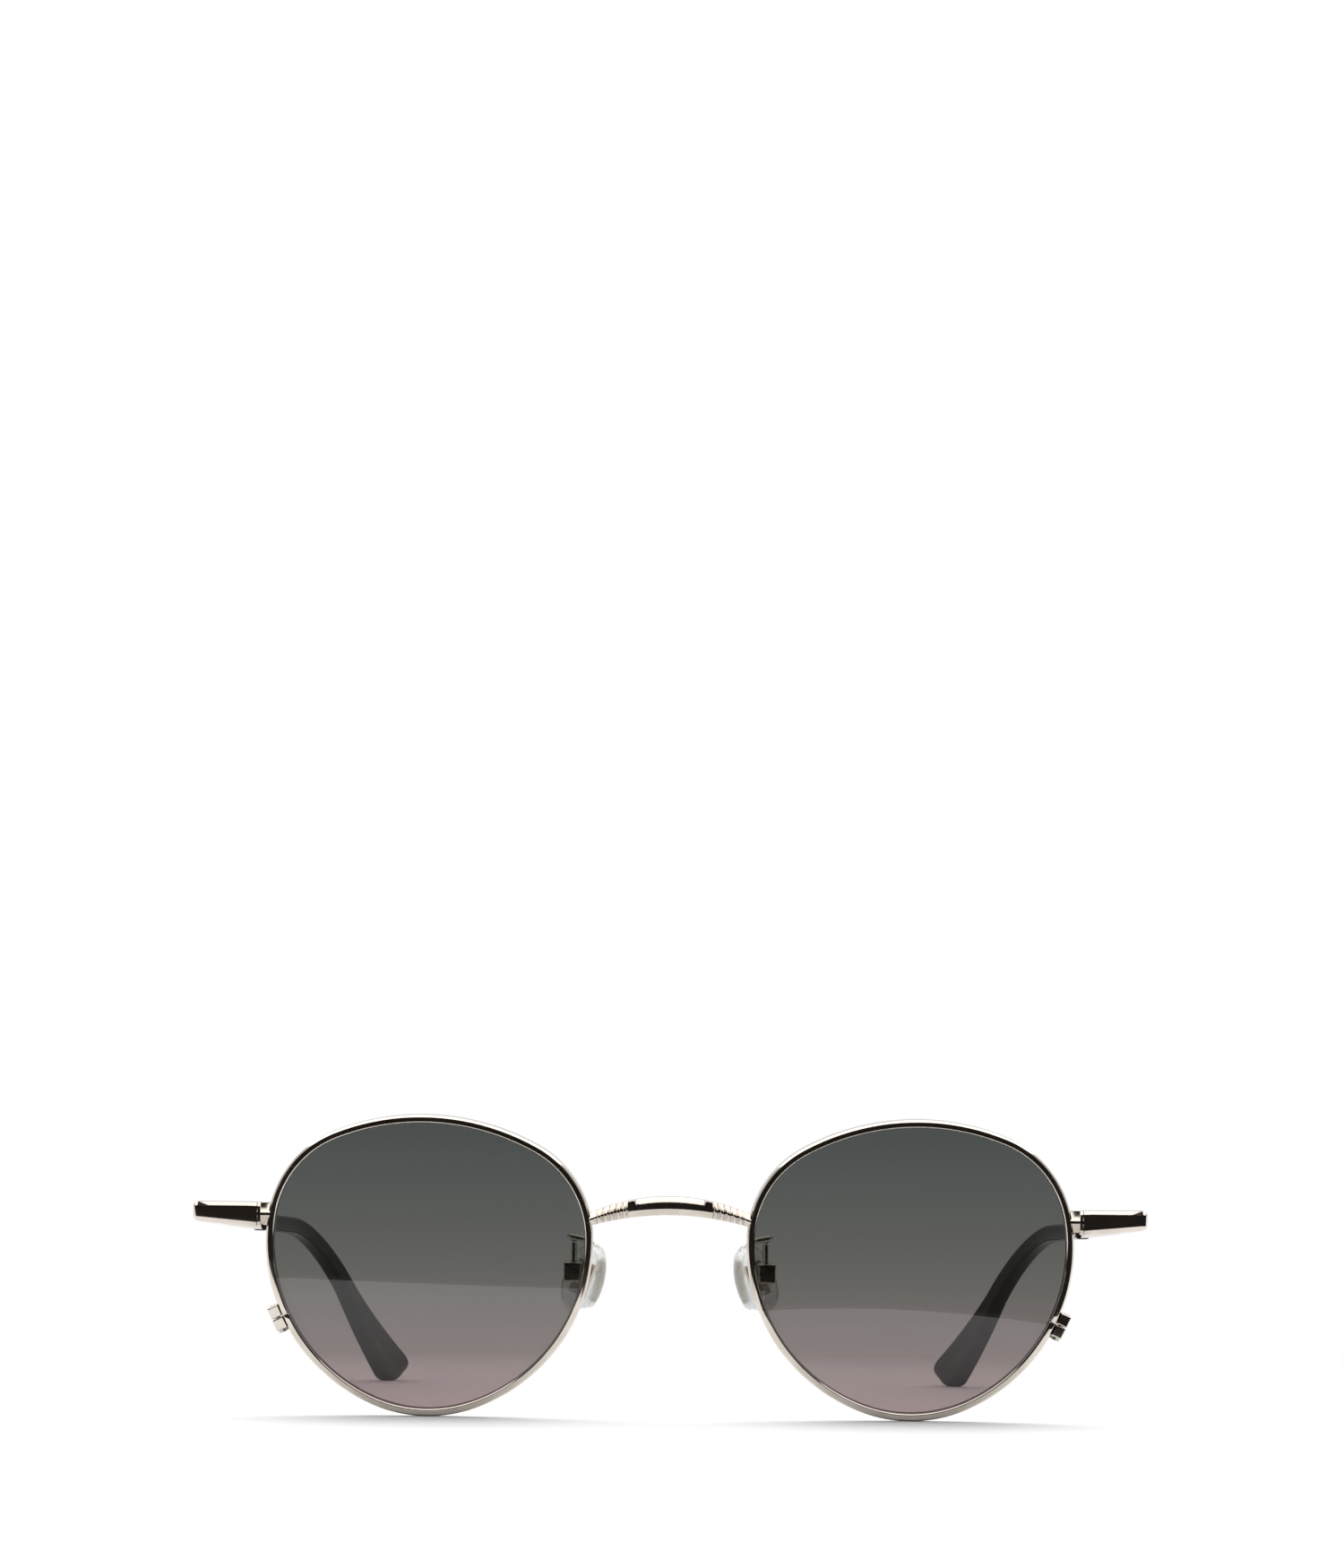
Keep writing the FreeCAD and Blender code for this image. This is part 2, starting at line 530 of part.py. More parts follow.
def plan_prism(name, thickness):
    """The temple seen from above: a band of this thickness, tall enough to cut from.

    It bows inwards gently as far as the bend, and more sharply behind the ear.
    """
    bow, tip_bow = size("temple_bow"), size("tip_bow")
    turn = math.asin(size("bend_start") / bow)
    bow_centre = V(arm_middle - bow, 0, -2 * REACH)
    tip_centre = bow_centre + V(math.cos(turn), math.sin(turn)) * (bow - tip_bow)
    finish = turn + PLAN_TURN
    faces = []
    for centre, radius, begin, end in ((bow_centre, bow, 0, turn), (tip_centre, tip_bow, turn, finish)):
        arcs = [Part.Arc(*[centre + V(math.cos(angle), math.sin(angle)) * (radius + side * thickness / 2)
                           for angle in (begin, (begin + end) / 2, end)]) for side in (1, -1)]
        edges = [arc.toShape() for arc in arcs]
        for point in ("StartPoint", "EndPoint"):
            edges.append(Part.LineSegment(getattr(arcs[0], point), getattr(arcs[1], point)).toShape())
        faces.append(Part.Face(Part.Wire(Part.sortEdges(edges)[0])))
    solid = doc.addObject("Part::Feature", name)
    solid.Shape = faces[0].fuse(faces[1]).removeSplitter().extrude(Z_AXIS * REACH * 4)
    return solid


def tangent_normal(first, second, offset):
    """Unit normal, to the left of first to second, of the line whose signed offsets differ this much."""
    line = second - first
    lean = math.acos(offset / line.Length)
    heading = math.atan2(line.y, line.x)
    return V(math.cos(heading + lean), math.sin(heading + lean))


bend = math.radians(size("bend_angle"))
bend_centre = V(size("bend_start"), -size("bend_radius"))
tip_direction = V(math.cos(bend), -math.sin(bend))
tip_normal = V(math.sin(bend), math.cos(bend))
after_bend = bend_centre + tip_normal * size("bend_radius")


def lowest_of_rims():
    """Height of the lowest point of the rims, with the front tilted."""
    shape = rim.Shape.copy()
    shape.Placement = front_place * shape.Placement
    return shape.optimalBoundingBox(False, False).ZMin


doc.recompute()
floor_level = lowest_of_rims()
# straight length after the bend that brings the corner of the tip down to the level of the rims
slope = math.radians(size("temple_slope"))
hinge_height_above_floor = front_place.multVec(V(hinge_x, hinge_y, hinge_z)).z - floor_level
corner_inset = size("tip_end_height") / 2 - size("tip_end_corner")


def height_above_floor(point):
    """Height of a point of the temple frame's side view."""
    return hinge_height_above_floor + point.y * math.cos(slope) - point.x * math.sin(slope)


start_corner = after_bend - tip_normal * corner_inset
drop_per_length = math.sin(bend) * math.cos(slope) + math.cos(bend) * math.sin(slope)
tip_straight = (height_above_floor(start_corner) - size("tip_end_corner")) / drop_per_length
lower_corner = start_corner + tip_direction * tip_straight
upper_corner = lower_corner + tip_normal * corner_inset * 2


def side_prism(name, points):
    """Extrude a closed side view, of lines and three-point arcs, across the temple."""
    edges = []
    for piece in points:
        pieces = [V(0, p.x, p.y) for p in piece]
        edges.append((Part.Arc(*pieces) if len(pieces) == 3 else Part.LineSegment(*pieces)).toShape())
    solid = doc.addObject("Part::Feature", name)
    face = Part.Face(Part.Wire(edges))
    face.translate(V(-REACH, 0, 0))
    solid.Shape = face.extrude(X_AXIS * REACH * 2)
    return solid


def arc_points(centre, radius, from_normal, to_normal):
    """Start, middle and end of an arc given by two unit normals."""
    middle = (from_normal + to_normal).normalize()
    return [centre + from_normal * radius, centre + middle * radius, centre + to_normal * radius]


UP = V(0, 1)
half_tip = size("tip_height") / 2
corner = size("tip_end_corner")
over_radius = size("bend_radius") + half_tip
under_radius = size("bend_radius") - half_tip
over = tangent_normal(bend_centre, upper_corner, over_radius - corner)
under = tangent_normal(bend_centre, lower_corner, under_radius + corner)
mouth = size("arm_length")
over_arc = arc_points(bend_centre, over_radius, UP, over)
under_arc = arc_points(bend_centre, under_radius, under, UP)
end_over = arc_points(upper_corner, corner, over, tip_direction)
end_under = arc_points(lower_corner, corner, tip_direction, under * -1)
tip_view = [[V(mouth, half_tip), over_arc[0]], over_arc, [over_arc[2], end_over[0]], end_over,
            [end_over[2], end_under[0]], end_under, [end_under[2], under_arc[0]], under_arc,
            [under_arc[2], V(mouth, -half_tip)], [V(mouth, -half_tip), V(mouth, half_tip)]]


def core_view(start, clearance):
    """Side view of the core wire inside the tip, grown all round by a clearance."""
    half = size("core_height") / 2 + clearance
    far = after_bend + tip_direction * (size("core_drop") + clearance)
    upper = arc_points(bend_centre, size("bend_radius") + half, UP, tip_normal)
    lower = arc_points(bend_centre, size("bend_radius") - half, tip_normal, UP)
    far_over, far_under = far + tip_normal * half, far - tip_normal * half
    return [[V(start, half), upper[0]], upper, [upper[2], far_over], [far_over, far_under],
            [far_under, lower[0]], lower, [lower[2], V(start, -half)], [V(start, -half), V(start, half)]]


def temple_piece(name, thickness, view):
    """A piece of the temple: its plan band and its side view, cut from each other."""
    return combined("Common", name, plan_prism(f"{name}_plan", thickness), side_prism(f"{name}_side", view))


arm_corners = [V(half_hinge_gap, half_arm), V(mouth, half_arm), V(mouth, -half_arm),
               V(half_hinge_gap, -half_arm)]
core_start = mouth - size("core_root")
arm_view = [[arm_corners[number], arm_corners[(number + 1) % 4]] for number in range(4)]
arm_bar = temple_piece("arm_bar", size("arm_thickness"), arm_view)
core = temple_piece("core", size("core_thickness"), core_view(core_start, 0))
temple_arm = fused("temple_arm", arm_bar, core)
temple_leaf = cut("temple_leaf_seated", temple_leaf_raw, temple_arm)
core_bore = temple_piece("core_bore", size("core_thickness") + 2 * size("seat_clearance"),
                         core_view(core_start, size("seat_clearance")))
tip_raw = temple_piece("tip_raw", size("tip_thickness"), tip_view)
doc.recompute()
tip_edges = edge_numbers(tip_raw.Shape, lambda middle, edge: middle.y > mouth + 0.1 and abs(
    edge.tangentAt((edge.FirstParameter + edge.LastParameter) / 2).x) < 0.9)
tip_rounded = bevelled("Fillet", "tip_rounded", tip_raw, [(tip_edges, size("tip_edge"))])
temple_tip = cut("temple_tip", tip_rounded, core_bore)

# ---------------------------------------------------------------- nose pad and its arm



def beside_nose(place):
    """A place given from the lens's edge beside the nose, in the front frame."""
    return V(*place) + X_AXIS * size("nasal_x")


pad_screw_point = beside_nose(PAD_SCREW_PLACE)
box_centre = pad_screw_point + X_AXIS * BOX_OFFSET
half_box = V(size("box_width"), size("box_depth"), size("box_height")) / 2
box_place = turned(Z_AXIS, 0, box_centre)
wall = size("box_wall")


def bent_wire(name, points, wire, bend_size):
    """A round wire along straight runs joined by tangent arcs."""
    edges = []
    start = points[0]
    for before, point, after in zip(points, points[1:], points[2:]):
        back = (before - point).normalize()
        ahead = (after - point).normalize()
        half_turn = (math.pi - back.getAngle(ahead)) / 2
        setback = bend_size * math.tan(half_turn)
        inward = (back + ahead).normalize()
        middle = point + inward * (bend_size / math.cos(half_turn) - bend_size)
        first, last = point + back * setback, point + ahead * setback
        edges.append(Part.LineSegment(start, first).toShape())
        edges.append(Part.Arc(first, middle, last).toShape())
        start = last
    edges.append(Part.LineSegment(start, points[-1]).toShape())
    section = Part.Wire(Part.Circle(points[0], points[1] - points[0], wire / 2).toShape())
    solid = doc.addObject("Part::Feature", name)
    solid.Shape = Part.Wire(edges).makePipeShell([section], True, False)
    return solid


root_point, _ = outline_point(size("arm_angle"), size("rim_web") / 2)
root_depth = face_depth(root_point) + size("rim_depth") - size("arm_weld")
root = lens_place.multVec(V(-root_point.x, root_depth, root_point.y))
box_top = V(pad_screw_point.x + size("arm_weld"), box_centre.y, box_centre.z + half_box.z)
route = [root] + [beside_nose(place) for place in ARM_WIRE_ROUTE] + [box_top]

box_block = box("pad_box_block", tuple(half_box * -1), tuple(half_box), box_place)
box_slot = box("pad_box_slot", (-REACH, wall - half_box.y, -REACH),
               (half_box.x - wall, half_box.y - wall, half_box.z - 1.5 * wall), box_place)
pad_screw_place = turned(X_AXIS, -90, pad_screw_point - Y_AXIS * half_box.y)
box_bore = cylinder("pad_box_bore", "[pad_screw_diameter] + 2 * [running_clearance]", -REACH, REACH,
                    pad_screw_place)
box_rounded = bevelled("Fillet", "pad_box_rounded", box_block, [(range(1, 13), size("box_corner"))])
pad_box = cut("pad_box", box_rounded, box_slot, box_bore)
pad_arm = cut("pad_arm", bent_wire("pad_arm_wire", route, size("arm_wire"), WIRE_BEND), rim, box_rounded)
pad_screw = screw("pad_screw", "[pad_screw_diameter]", size("box_depth"),
                  "[pad_screw_diameter] * [head_ratio]", size("small_head_height"), pad_screw_place)

pad_centre = beside_nose(PAD_PLACE)
pad_place = turned(Y_AXIS, -size("pad_lean"), pad_centre) * turned(Z_AXIS, size("pad_splay"))
pad_body = doc.addObject("PartDesign::Body", "pad_cushion")
pad_sketch = sketch_on(pad_body, "pad_outline", "XZ_Plane")
pad_radius = size("pad_width") / 2
pad_half = size("pad_length") / 2 - pad_radius
for centre_y, start in ((pad_half, 0), (-pad_half, math.pi)):
    circle = Part.Circle(V(0, centre_y, 0), Z_AXIS, pad_radius)
    pad_sketch.addGeometry(Part.ArcOfCircle(circle, start, start + math.pi), False)
for side in (-1, 1):
    line = Part.LineSegment(V(side * pad_radius, side * -pad_half), V(side * pad_radius, side * pad_half))
    pad_sketch.addGeometry(line, False)
for arc, arc_end, line, line_end in ((0, 2, 2, 1), (1, 1, 2, 2), (1, 2, 3, 1), (0, 1, 3, 2)):
    pad_sketch.addConstraint(Sketcher.Constraint("Tangent", arc, arc_end, line, line_end))
pad_sketch.addConstraint(Sketcher.Constraint("PointOnObject", 0, 3, -2))
pad_sketch.addConstraint(Sketcher.Constraint("Symmetric", 0, 3, 1, 3, -1, 1))
dimension(pad_sketch, "Radius", 0, pad_radius, to="[pad_width] / 2")
dimension(pad_sketch, "DistanceY", 1, 3, 0, 3, 2 * pad_half, to="[pad_length] - [pad_width]")
padded(pad_body, pad_sketch, "[pad_thickness]")
pad_body.Placement = pad_place
doc.recompute()


def on_pad_face(middle, edge):
    """Whether the edge lies on the front or back face of the pad."""
    return abs(abs(pad_place.inverse().multVec(middle).y) - size("pad_thickness") / 2) < 0.01


pad_rounded = bevelled("Fillet", "pad_rounded", pad_body,
                       [(edge_numbers(pad_body.Shape, on_pad_face), size("pad_edge"))])
lug_half = half_box.y - wall - size("lug_clearance")
half_lug_height = size("lug_height") / 2
lug_reach = size("lug_reach")
lug_place = turned(Z_AXIS, 0, pad_screw_point)
lug_eye = cylinder("lug_eye", "[pad_screw_diameter] + 4 * [box_wall] / 3", -lug_half, lug_half,
                   lug_place * turned(X_AXIS, -90))
# the stem runs straight back from the lug to the middle of the insert plate
plate_normal = pad_place.Rotation.multVec(Y_AXIS)
stem_start = pad_screw_point + X_AXIS * (size("stem_width") / 2 - lug_reach)
stem_end = plate_normal.dot(pad_centre - stem_start) / plate_normal.y
lug_bar = box("lug_bar", (-lug_reach, -lug_half, -half_lug_height), (0, lug_half, half_lug_height), lug_place)
stem = box("pad_stem", (-lug_reach, -lug_half, -half_lug_height),
           (size("stem_width") - lug_reach, stem_end, half_lug_height), lug_place)
insert_half = V(size("insert_width"), size("insert_thickness"), size("insert_height")) / 2
insert_plate = box("insert_plate", tuple(insert_half * -1), tuple(insert_half), pad_place)
lug_bore = cylinder("lug_bore", "[pad_screw_diameter] + 2 * [running_clearance]", -REACH, REACH,
                    pad_screw_place)
pad_insert = cut("pad_insert", fused("pad_insert", lug_eye, lug_bar, stem, insert_plate), lug_bore)
nose_pad = cut("nose_pad", pad_rounded, pad_insert)

# ---------------------------------------------------------------- place every sub-part

doc.recompute()
front_pieces = {"rim": rim, "lens": lens, "closing_screw": closing_screw, "endpiece": endpiece,
                "hinge_front_leaf": front_leaf, "hinge_screw": hinge_screw,
                "pad_arm": pad_arm, "pad_box": pad_box, "pad_screw": pad_screw, "pad_insert": pad_insert,
                "nose_pad": nose_pad}
front_pieces.update(closing_blocks)
temple_pieces = {"hinge_temple_leaf": temple_leaf, "temple_arm": temple_arm, "temple_tip": temple_tip}


def extent(solid, placement):
    """The exact bounding box of an object at another placement."""
    shape = solid.Shape.copy()
    shape.Placement = placement * shape.Placement
    return shape.optimalBoundingBox(False, False)


temple_place = front_place * hinge_place
foremost = min(extent(solid, front_place).YMin for solid in (rim, lens, bridge, endpiece))
hindmost = extent(temple_tip, temple_place).YMax
origin_shift = turned(Z_AXIS, 0, V(0, -(foremost + hindmost) / 2, -floor_level))
subparts = []


def sub_part(node, solid, placement):
    """One finished piece in the row frame; its label is the node's name."""
    piece = doc.addObject("Part::Compound", node)
    piece.Label = node
    piece.Links = [solid]
    piece.Placement = placement
    subparts.append(piece)
    return piece


for pieces, place in ((front_pieces, front_place), (temple_pieces, temple_place)):
    for node, solid in pieces.items():
        left = sub_part(f"left_{node}", solid, origin_shift * place)
        right = doc.addObject("Part::Mirroring", f"right_{node}")
        right.Label = f"right_{node}"
        right.Source = left
        right.Normal = X_AXIS
        subparts.append(right)
sub_part("bridge", bridge, origin_shift * front_place)
doc.recompute()

for item in doc.Objects:
    if "Invalid" in item.State or "Error" in item.State:
        raise RuntimeError(f"{item.Name} failed: {item.State}")
for item in subparts:
    if item.Shape.isNull() or not item.Shape.isValid() or len(item.Shape.Solids) != 1:
        raise RuntimeError(f"{item.Label} is not one valid solid")

os.makedirs("parts", exist_ok=True)
for item in subparts:
    item.Shape.exportStep(f"parts/{item.Label}.step")
hinge_row = (origin_shift * temple_place).Base
screw_row = (origin_shift * front_place).multVec(pad_screw_point)
print("hinge axis point", [round(value, 4) for value in hinge_row])
print("hinge axis", [round(value, 6) for value in (origin_shift * temple_place).Rotation.multVec(Z_AXIS)])
print("pad screw point", [round(value, 4) for value in screw_row])
print("pad screw axis", [round(value, 6) for value in front_place.Rotation.multVec(Y_AXIS)])
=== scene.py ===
import json
import math

import bmesh
import bpy
from bpy.props import FloatProperty, FloatVectorProperty, PointerProperty
from mathutils import Matrix, Vector


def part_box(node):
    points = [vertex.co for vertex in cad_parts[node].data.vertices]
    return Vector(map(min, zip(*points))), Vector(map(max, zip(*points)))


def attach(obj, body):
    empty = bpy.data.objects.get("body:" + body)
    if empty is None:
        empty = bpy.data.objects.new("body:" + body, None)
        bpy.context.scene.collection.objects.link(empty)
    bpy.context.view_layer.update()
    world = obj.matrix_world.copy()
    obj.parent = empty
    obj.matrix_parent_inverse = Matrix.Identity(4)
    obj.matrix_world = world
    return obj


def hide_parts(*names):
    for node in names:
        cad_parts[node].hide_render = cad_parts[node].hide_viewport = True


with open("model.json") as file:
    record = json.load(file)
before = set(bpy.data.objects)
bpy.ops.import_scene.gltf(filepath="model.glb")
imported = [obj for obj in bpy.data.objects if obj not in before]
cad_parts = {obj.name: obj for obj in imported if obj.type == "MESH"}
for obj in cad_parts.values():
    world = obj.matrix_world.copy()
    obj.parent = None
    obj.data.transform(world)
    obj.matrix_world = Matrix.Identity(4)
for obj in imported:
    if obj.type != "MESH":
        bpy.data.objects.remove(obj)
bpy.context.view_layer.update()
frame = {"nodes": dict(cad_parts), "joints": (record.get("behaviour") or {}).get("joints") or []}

# Round wire sunglasses: panto rims of polished nickel silver round graded lenses, an arched
# bridge with engraved shoulders, flat endpieces, clear soft nose pads and black acetate tips.
# Everything is in metres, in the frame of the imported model: +X is the wearer's left, +Y runs
# back along the temples and +Z is up. Left-hand pieces are made first, and mirrored.

bl_info = {
    "name": "Round Wire Sunglasses",
    "version": (1, 0, 0),
    "blender": (4, 5, 0),
    "location": "3D View > Sidebar > Sunglasses",
    "description": "Builds the visible pieces of a pair of round wire sunglasses round their packed frame",
    "category": "Add Mesh",
}

MM = 0.001
SIDES = ("left", "right")
WHITE = (1.0, 1.0, 1.0, 1.0)
SMOOTH_ANGLE = math.radians(32)  # edges sharper than this stay crisp
ARC_STEP = math.radians(2.5)  # the longest step along the lens outline


# ---------------------------------------------------------------- sizes and colours

def linear(code):
    """Linear RGB of an sRGB hex colour."""
    levels = [int(code[place:place + 2], 16) / 255 for place in (1, 3, 5)]
    return [level / 12.92 if level <= 0.04045 else ((level + 0.055) / 1.055) ** 2.4 for level in levels]


def length(name, millimetres, description):
    """A length property; its default is given in millimetres."""
    return FloatProperty(name=name, description=description, default=millimetres * MM, unit="LENGTH",
                         precision=5)


def angle(name, degrees, description):
    """An angle property; its default is given in degrees."""
    return FloatProperty(name=name, description=description, default=math.radians(degrees), unit="ROTATION")


def colour(name, code, description):
    """A colour property; its default is given as sRGB hex."""
    return FloatVectorProperty(name=name, description=description, default=linear(code), subtype="COLOR",
                               min=0.0, max=1.0)


class LensAndRimSizes(bpy.types.PropertyGroup):
    """The outline of a lens, and the rim round it."""
    lens_width: length("Lens width", 47.1, "Width of a lens between its edges")
    lens_height: length("Lens height", 43.5, "Height of a lens between its edges")
    lens_spacing: length("Lens spacing", 72.0, "Distance between the centres of the two lenses")
    top_radius: length("Top radius", 34.402, "Radius of the flat arc along the top of a lens")
    corner_radius: length("Corner radius", 15.251, "Radius of the upper corners")
    side_radius: length("Side radius", 25.611, "Radius of the sides")
    bottom_radius: length("Bottom radius", 20.502, "Radius of the round bottom")
    base_radius: length("Base curve", 132.0, "Radius of the sphere that the front of the rims lies on")
    lens_roll: angle("Roll", 3.2, "How far each lens is turned in its own plane")
    front_wrap: angle("Wrap", 2.0, "How far each lens turns towards the temples")
    front_tilt: angle("Tilt", 7.5, "How far the top of the front leans forward as the glasses stand")
    lens_thickness: length("Lens thickness", 1.8, "Thickness of a lens")
    lens_setback: length("Lens setback", 0.2, "How far a lens lies behind the front of its rim")
    tongue: length("Tongue", 0.4, "How far the edge of a lens reaches into the rim's groove")
    rim_web: length("Rim web", 0.75, "Metal outside the edge of the lens")
    rim_lip: length("Rim lip", 0.38, "Metal over the edge of the lens")
    rim_depth: length("Rim depth", 2.2, "Depth of the rim from front to back")
    rim_bevel: length("Rim bevel", 0.28, "Polished bevel along the rim's front outer edge")
    rim_inner_bevel: length("Inner bevel", 0.22, "Polished bevel along the rim's front inner edge")
    rim_gap: length("Rim gap", 0.15, "Gap between the ends of the rim, where the lock closes it")
    lock_angle: angle("Lock angle", -23.0, "Direction of the rim lock from the centre of a lens")


class BarSizes(bpy.types.PropertyGroup):
    """The bridge and the endpieces."""
    bridge_apex: length("Bridge apex", 10.7, "Height of the bridge's top above the lens centres")
    bridge_height: length("Bridge height", 2.7, "Height of the bar at its middle")
    bridge_depth: length("Bridge depth", 2.1, "Depth of the bar from front to back")
    bridge_top_radius: length("Top arch", 29.0, "Radius of the bridge's upper edge")
    bridge_under_radius: length("Under arch", 42.0, "Radius of the bridge's lower edge")
    bridge_reach: length("Bridge reach", 12.35, "From the middle to where the bar is soldered to a rim")
    upper_flat: length("Upper facet", 0.85, "Height of the facet along the top of the bridge's middle")
    lower_flat: length("Lower facet", 1.0, "Height of the facet along the bottom of the bridge")
    facet_end: length("Facet end", 5.0, "From the middle to the end of the upper facet")
    shoulder: length("Shoulder", 6.3, "From the middle to where the engraved shoulders begin")
    endpiece_top: length("Endpiece top", 9.1, "Height of the endpieces' top above the lens centres")
    endpiece_root: length("Root height", 3.66, "Height of an endpiece beside the rim")
    endpiece_tip: length("Tip height", 2.8, "Height of an endpiece at the temple")
    endpiece_length: length("Endpiece length", 9.5, "Length of the flat bar")
    endpiece_thickness: length("Endpiece thickness", 1.5, "Thickness of the flat bar")
    neck_length: length("Neck length", 1.2, "From the rim to the flat bar")
    hinge_setback: length("Hinge setback", 5.6, "From the face of the bar back to the hinge")
    upper_bevel: length("Upper bevel", 0.48, "Bevel along the top of the bar")
    lower_bevel: length("Lower bevel", 0.75, "Bevel along the bottom of the bar")


class TempleSizes(bpy.types.PropertyGroup):
    """The temples."""
    slope: angle("Slope", 1.95, "How far the temples slope down to the back")
    arm_offset: length("Arm offset", 1.9, "From the hinge's axis out to the middle of the arm")
    arm_thickness: length("Arm thickness", 1.3, "Thickness of the metal arm")
    arm_height: length("Arm height", 2.4, "Height of the metal arm")
    arm_length: length("Arm length", 59.0, "From the hinge to the mouth of the tip")
    core_thickness: length("Core thickness", 0.9, "Thickness of the core wire inside the tip")
    core_height: length("Core height", 1.4, "Height of the core wire inside the tip")
    core_drop: length("Core drop", 16.0, "How far the core wire runs on after the bend")
    bow: length("Temple bow", 490.0, "Radius of the temple seen from above, as far as the bend")
    tip_bow: length("Tip bow", 92.0, "Radius of the temple seen from above, behind the ear")
    tip_thickness: length("Tip thickness", 2.4, "Thickness of the acetate")
    tip_height: length("Tip height", 2.7, "Height of the acetate at its mouth")
    tip_end_height: length("Tip end height", 5.8, "Height of the acetate at its end")
    tip_end_corner: length("Tip end corner", 2.1, "Radius of the end's corners, from the side")
    tip_edge: length("Tip edge", 0.6, "Radius that the acetate's long edges are polished to")
    bend_start: length("Bend start", 80.0, "From the hinge to the start of the bend")
    bend_radius: length("Bend radius", 34.5, "Radius of the bend over the ear")
    bend_angle: angle("Bend angle", 46.5, "How far the bend turns down")


class PadSizes(bpy.types.PropertyGroup):
    """The nose pads."""
    pad_length: length("Pad length", 11.0, "Height of a nose pad")
    pad_width: length("Pad width", 7.4, "Width of a nose pad")
    pad_thickness: length("Pad thickness", 2.6, "Thickness of a nose pad")
    pad_splay: angle("Pad splay", 46.0, "How far a pad's face turns towards the nose")
    pad_lean: angle("Pad lean", 19.0, "How far a pad leans, wider apart at the bottom")
    pad_x: length("Pad from middle", 12.9, "From the middle of the bridge to a pad's centre")
    pad_y: length("Pad setback", 11.7, "From the plane of the lenses back to a pad's centre")
    pad_z: length("Pad level", -3.4, "Height of a pad's centre above the lens centres")


class FinishColours(bpy.types.PropertyGroup):
    """Colours of the materials."""
    metal: colour("Nickel silver", "#DCD4CA", "Polished nickel silver")
    metal_worn: colour("Worn nickel silver", "#BDB2A4", "Nickel silver where handling has dulled it")
    steel: colour("Screw steel", "#B9B7B3", "Turned steel of the screws")
    tint_top: colour("Tint at the top", "#909493", "What the tint lets through at the top of a lens")
    tint_middle: colour("Tint at the middle", "#A3A3A0", "What the tint lets through at the middle")
    tint_bottom: colour("Tint at the bottom", "#C1B6B6", "What the tint lets through at the bottom")
    acetate: colour("Acetate", "#0A0908", "Black acetate of the tips")
    pad: colour("Clear pad", "#EFF2F1", "Clear soft plastic of the nose pads")
    floor: colour("Floor", "#F4F6F8", "The pale surface that the glasses stand on")


class StageSizes(bpy.types.PropertyGroup):
    """The camera, the floor and the lights."""
    camera_right: length("Camera to the side", 2.4, "The camera's place along X")
    camera_front: length("Camera distance", 760.4, "How far the camera stands in front of the origin")
    camera_up: length("Camera height", 36.4, "The camera's height above the floor")
    camera_yaw: angle("Camera yaw", 0.23, "Turned about the upright axis")
    camera_pitch: angle("Camera pitch", 4.75, "Tilted up")
    camera_roll: angle("Camera roll", -0.61, "Turned about its own line of sight")
    focal_length: FloatProperty(name="Focal length", description="Focal length of the camera's lens, in mm",
                                default=107.6, unit="CAMERA")
    floor_width: length("Floor width", 6000.0, "Width of the floor")
    light_power: FloatProperty(name="Light", description="Power of the overhead light", default=25.0,
                               unit="POWER")
    clean_from: length("Shadows fade from", 110.0, "From the middle to where the floor starts to burn out")
    clean_to: length("Shadows fade to", 210.0, "From the middle to where the floor is plain white")


# ---------------------------------------------------------------- modelling helpers

def only(piece):
    """Deselect everything else and make the piece active."""
    bpy.ops.object.select_all(action="DESELECT")
    piece.select_set(True)
    bpy.context.view_layer.objects.active = piece


def drawn_out(name, rings):
    """A closed skin: a ring of vertices, extruded from each ring's place to the next, and capped."""
    bpy.ops.object.select_all(action="DESELECT")
    bpy.ops.mesh.primitive_circle_add(vertices=len(rings[0]), radius=MM)
    piece = bpy.context.object
    piece.name = name
    piece.data.name = name
    bpy.ops.object.mode_set(mode="EDIT")
    mesh = bmesh.from_edit_mesh(piece.data)
    order = mesh.verts.layers.int.new("order")
    for number, vertex in enumerate(mesh.verts):
        vertex[order] = number
    bpy.ops.mesh.select_all(action="SELECT")
    for number, ring in enumerate(rings):
        if number:
            bpy.ops.mesh.extrude_edges_move()
        mesh = bmesh.from_edit_mesh(piece.data)
        order = mesh.verts.layers.int["order"]
        for vertex in mesh.verts:
            if vertex.select:
                vertex.co = ring[vertex[order]]
        bmesh.update_edit_mesh(piece.data)
    bpy.ops.mesh.select_all(action="DESELECT")
    bpy.ops.mesh.select_non_manifold()
    bpy.ops.mesh.fill_holes(sides=0)
    bpy.ops.mesh.select_all(action="SELECT")
    bpy.ops.mesh.normals_make_consistent(inside=False)
    bpy.ops.object.mode_set(mode="OBJECT")
    piece.data.attributes.remove(piece.data.attributes["order"])
    return piece


def softened(piece, width, segments=2, limit=25.0):
    """Polish the piece's sharp edges to a small radius."""
    only(piece)
    bevel = piece.modifiers.new("polished_edges", "BEVEL")
    bevel.width = width
    bevel.segments = segments
    bevel.limit_method = "ANGLE"
    bevel.angle_limit = math.radians(limit)
    bpy.ops.object.modifier_apply(modifier=bevel.name)
    return piece


def set_down(piece, place):
    """Carry a finished piece from its own frame to its place, and apply it."""
    only(piece)
    piece.matrix_world = place
    bpy.ops.object.transform_apply(location=True, rotation=True, scale=True)
    return piece


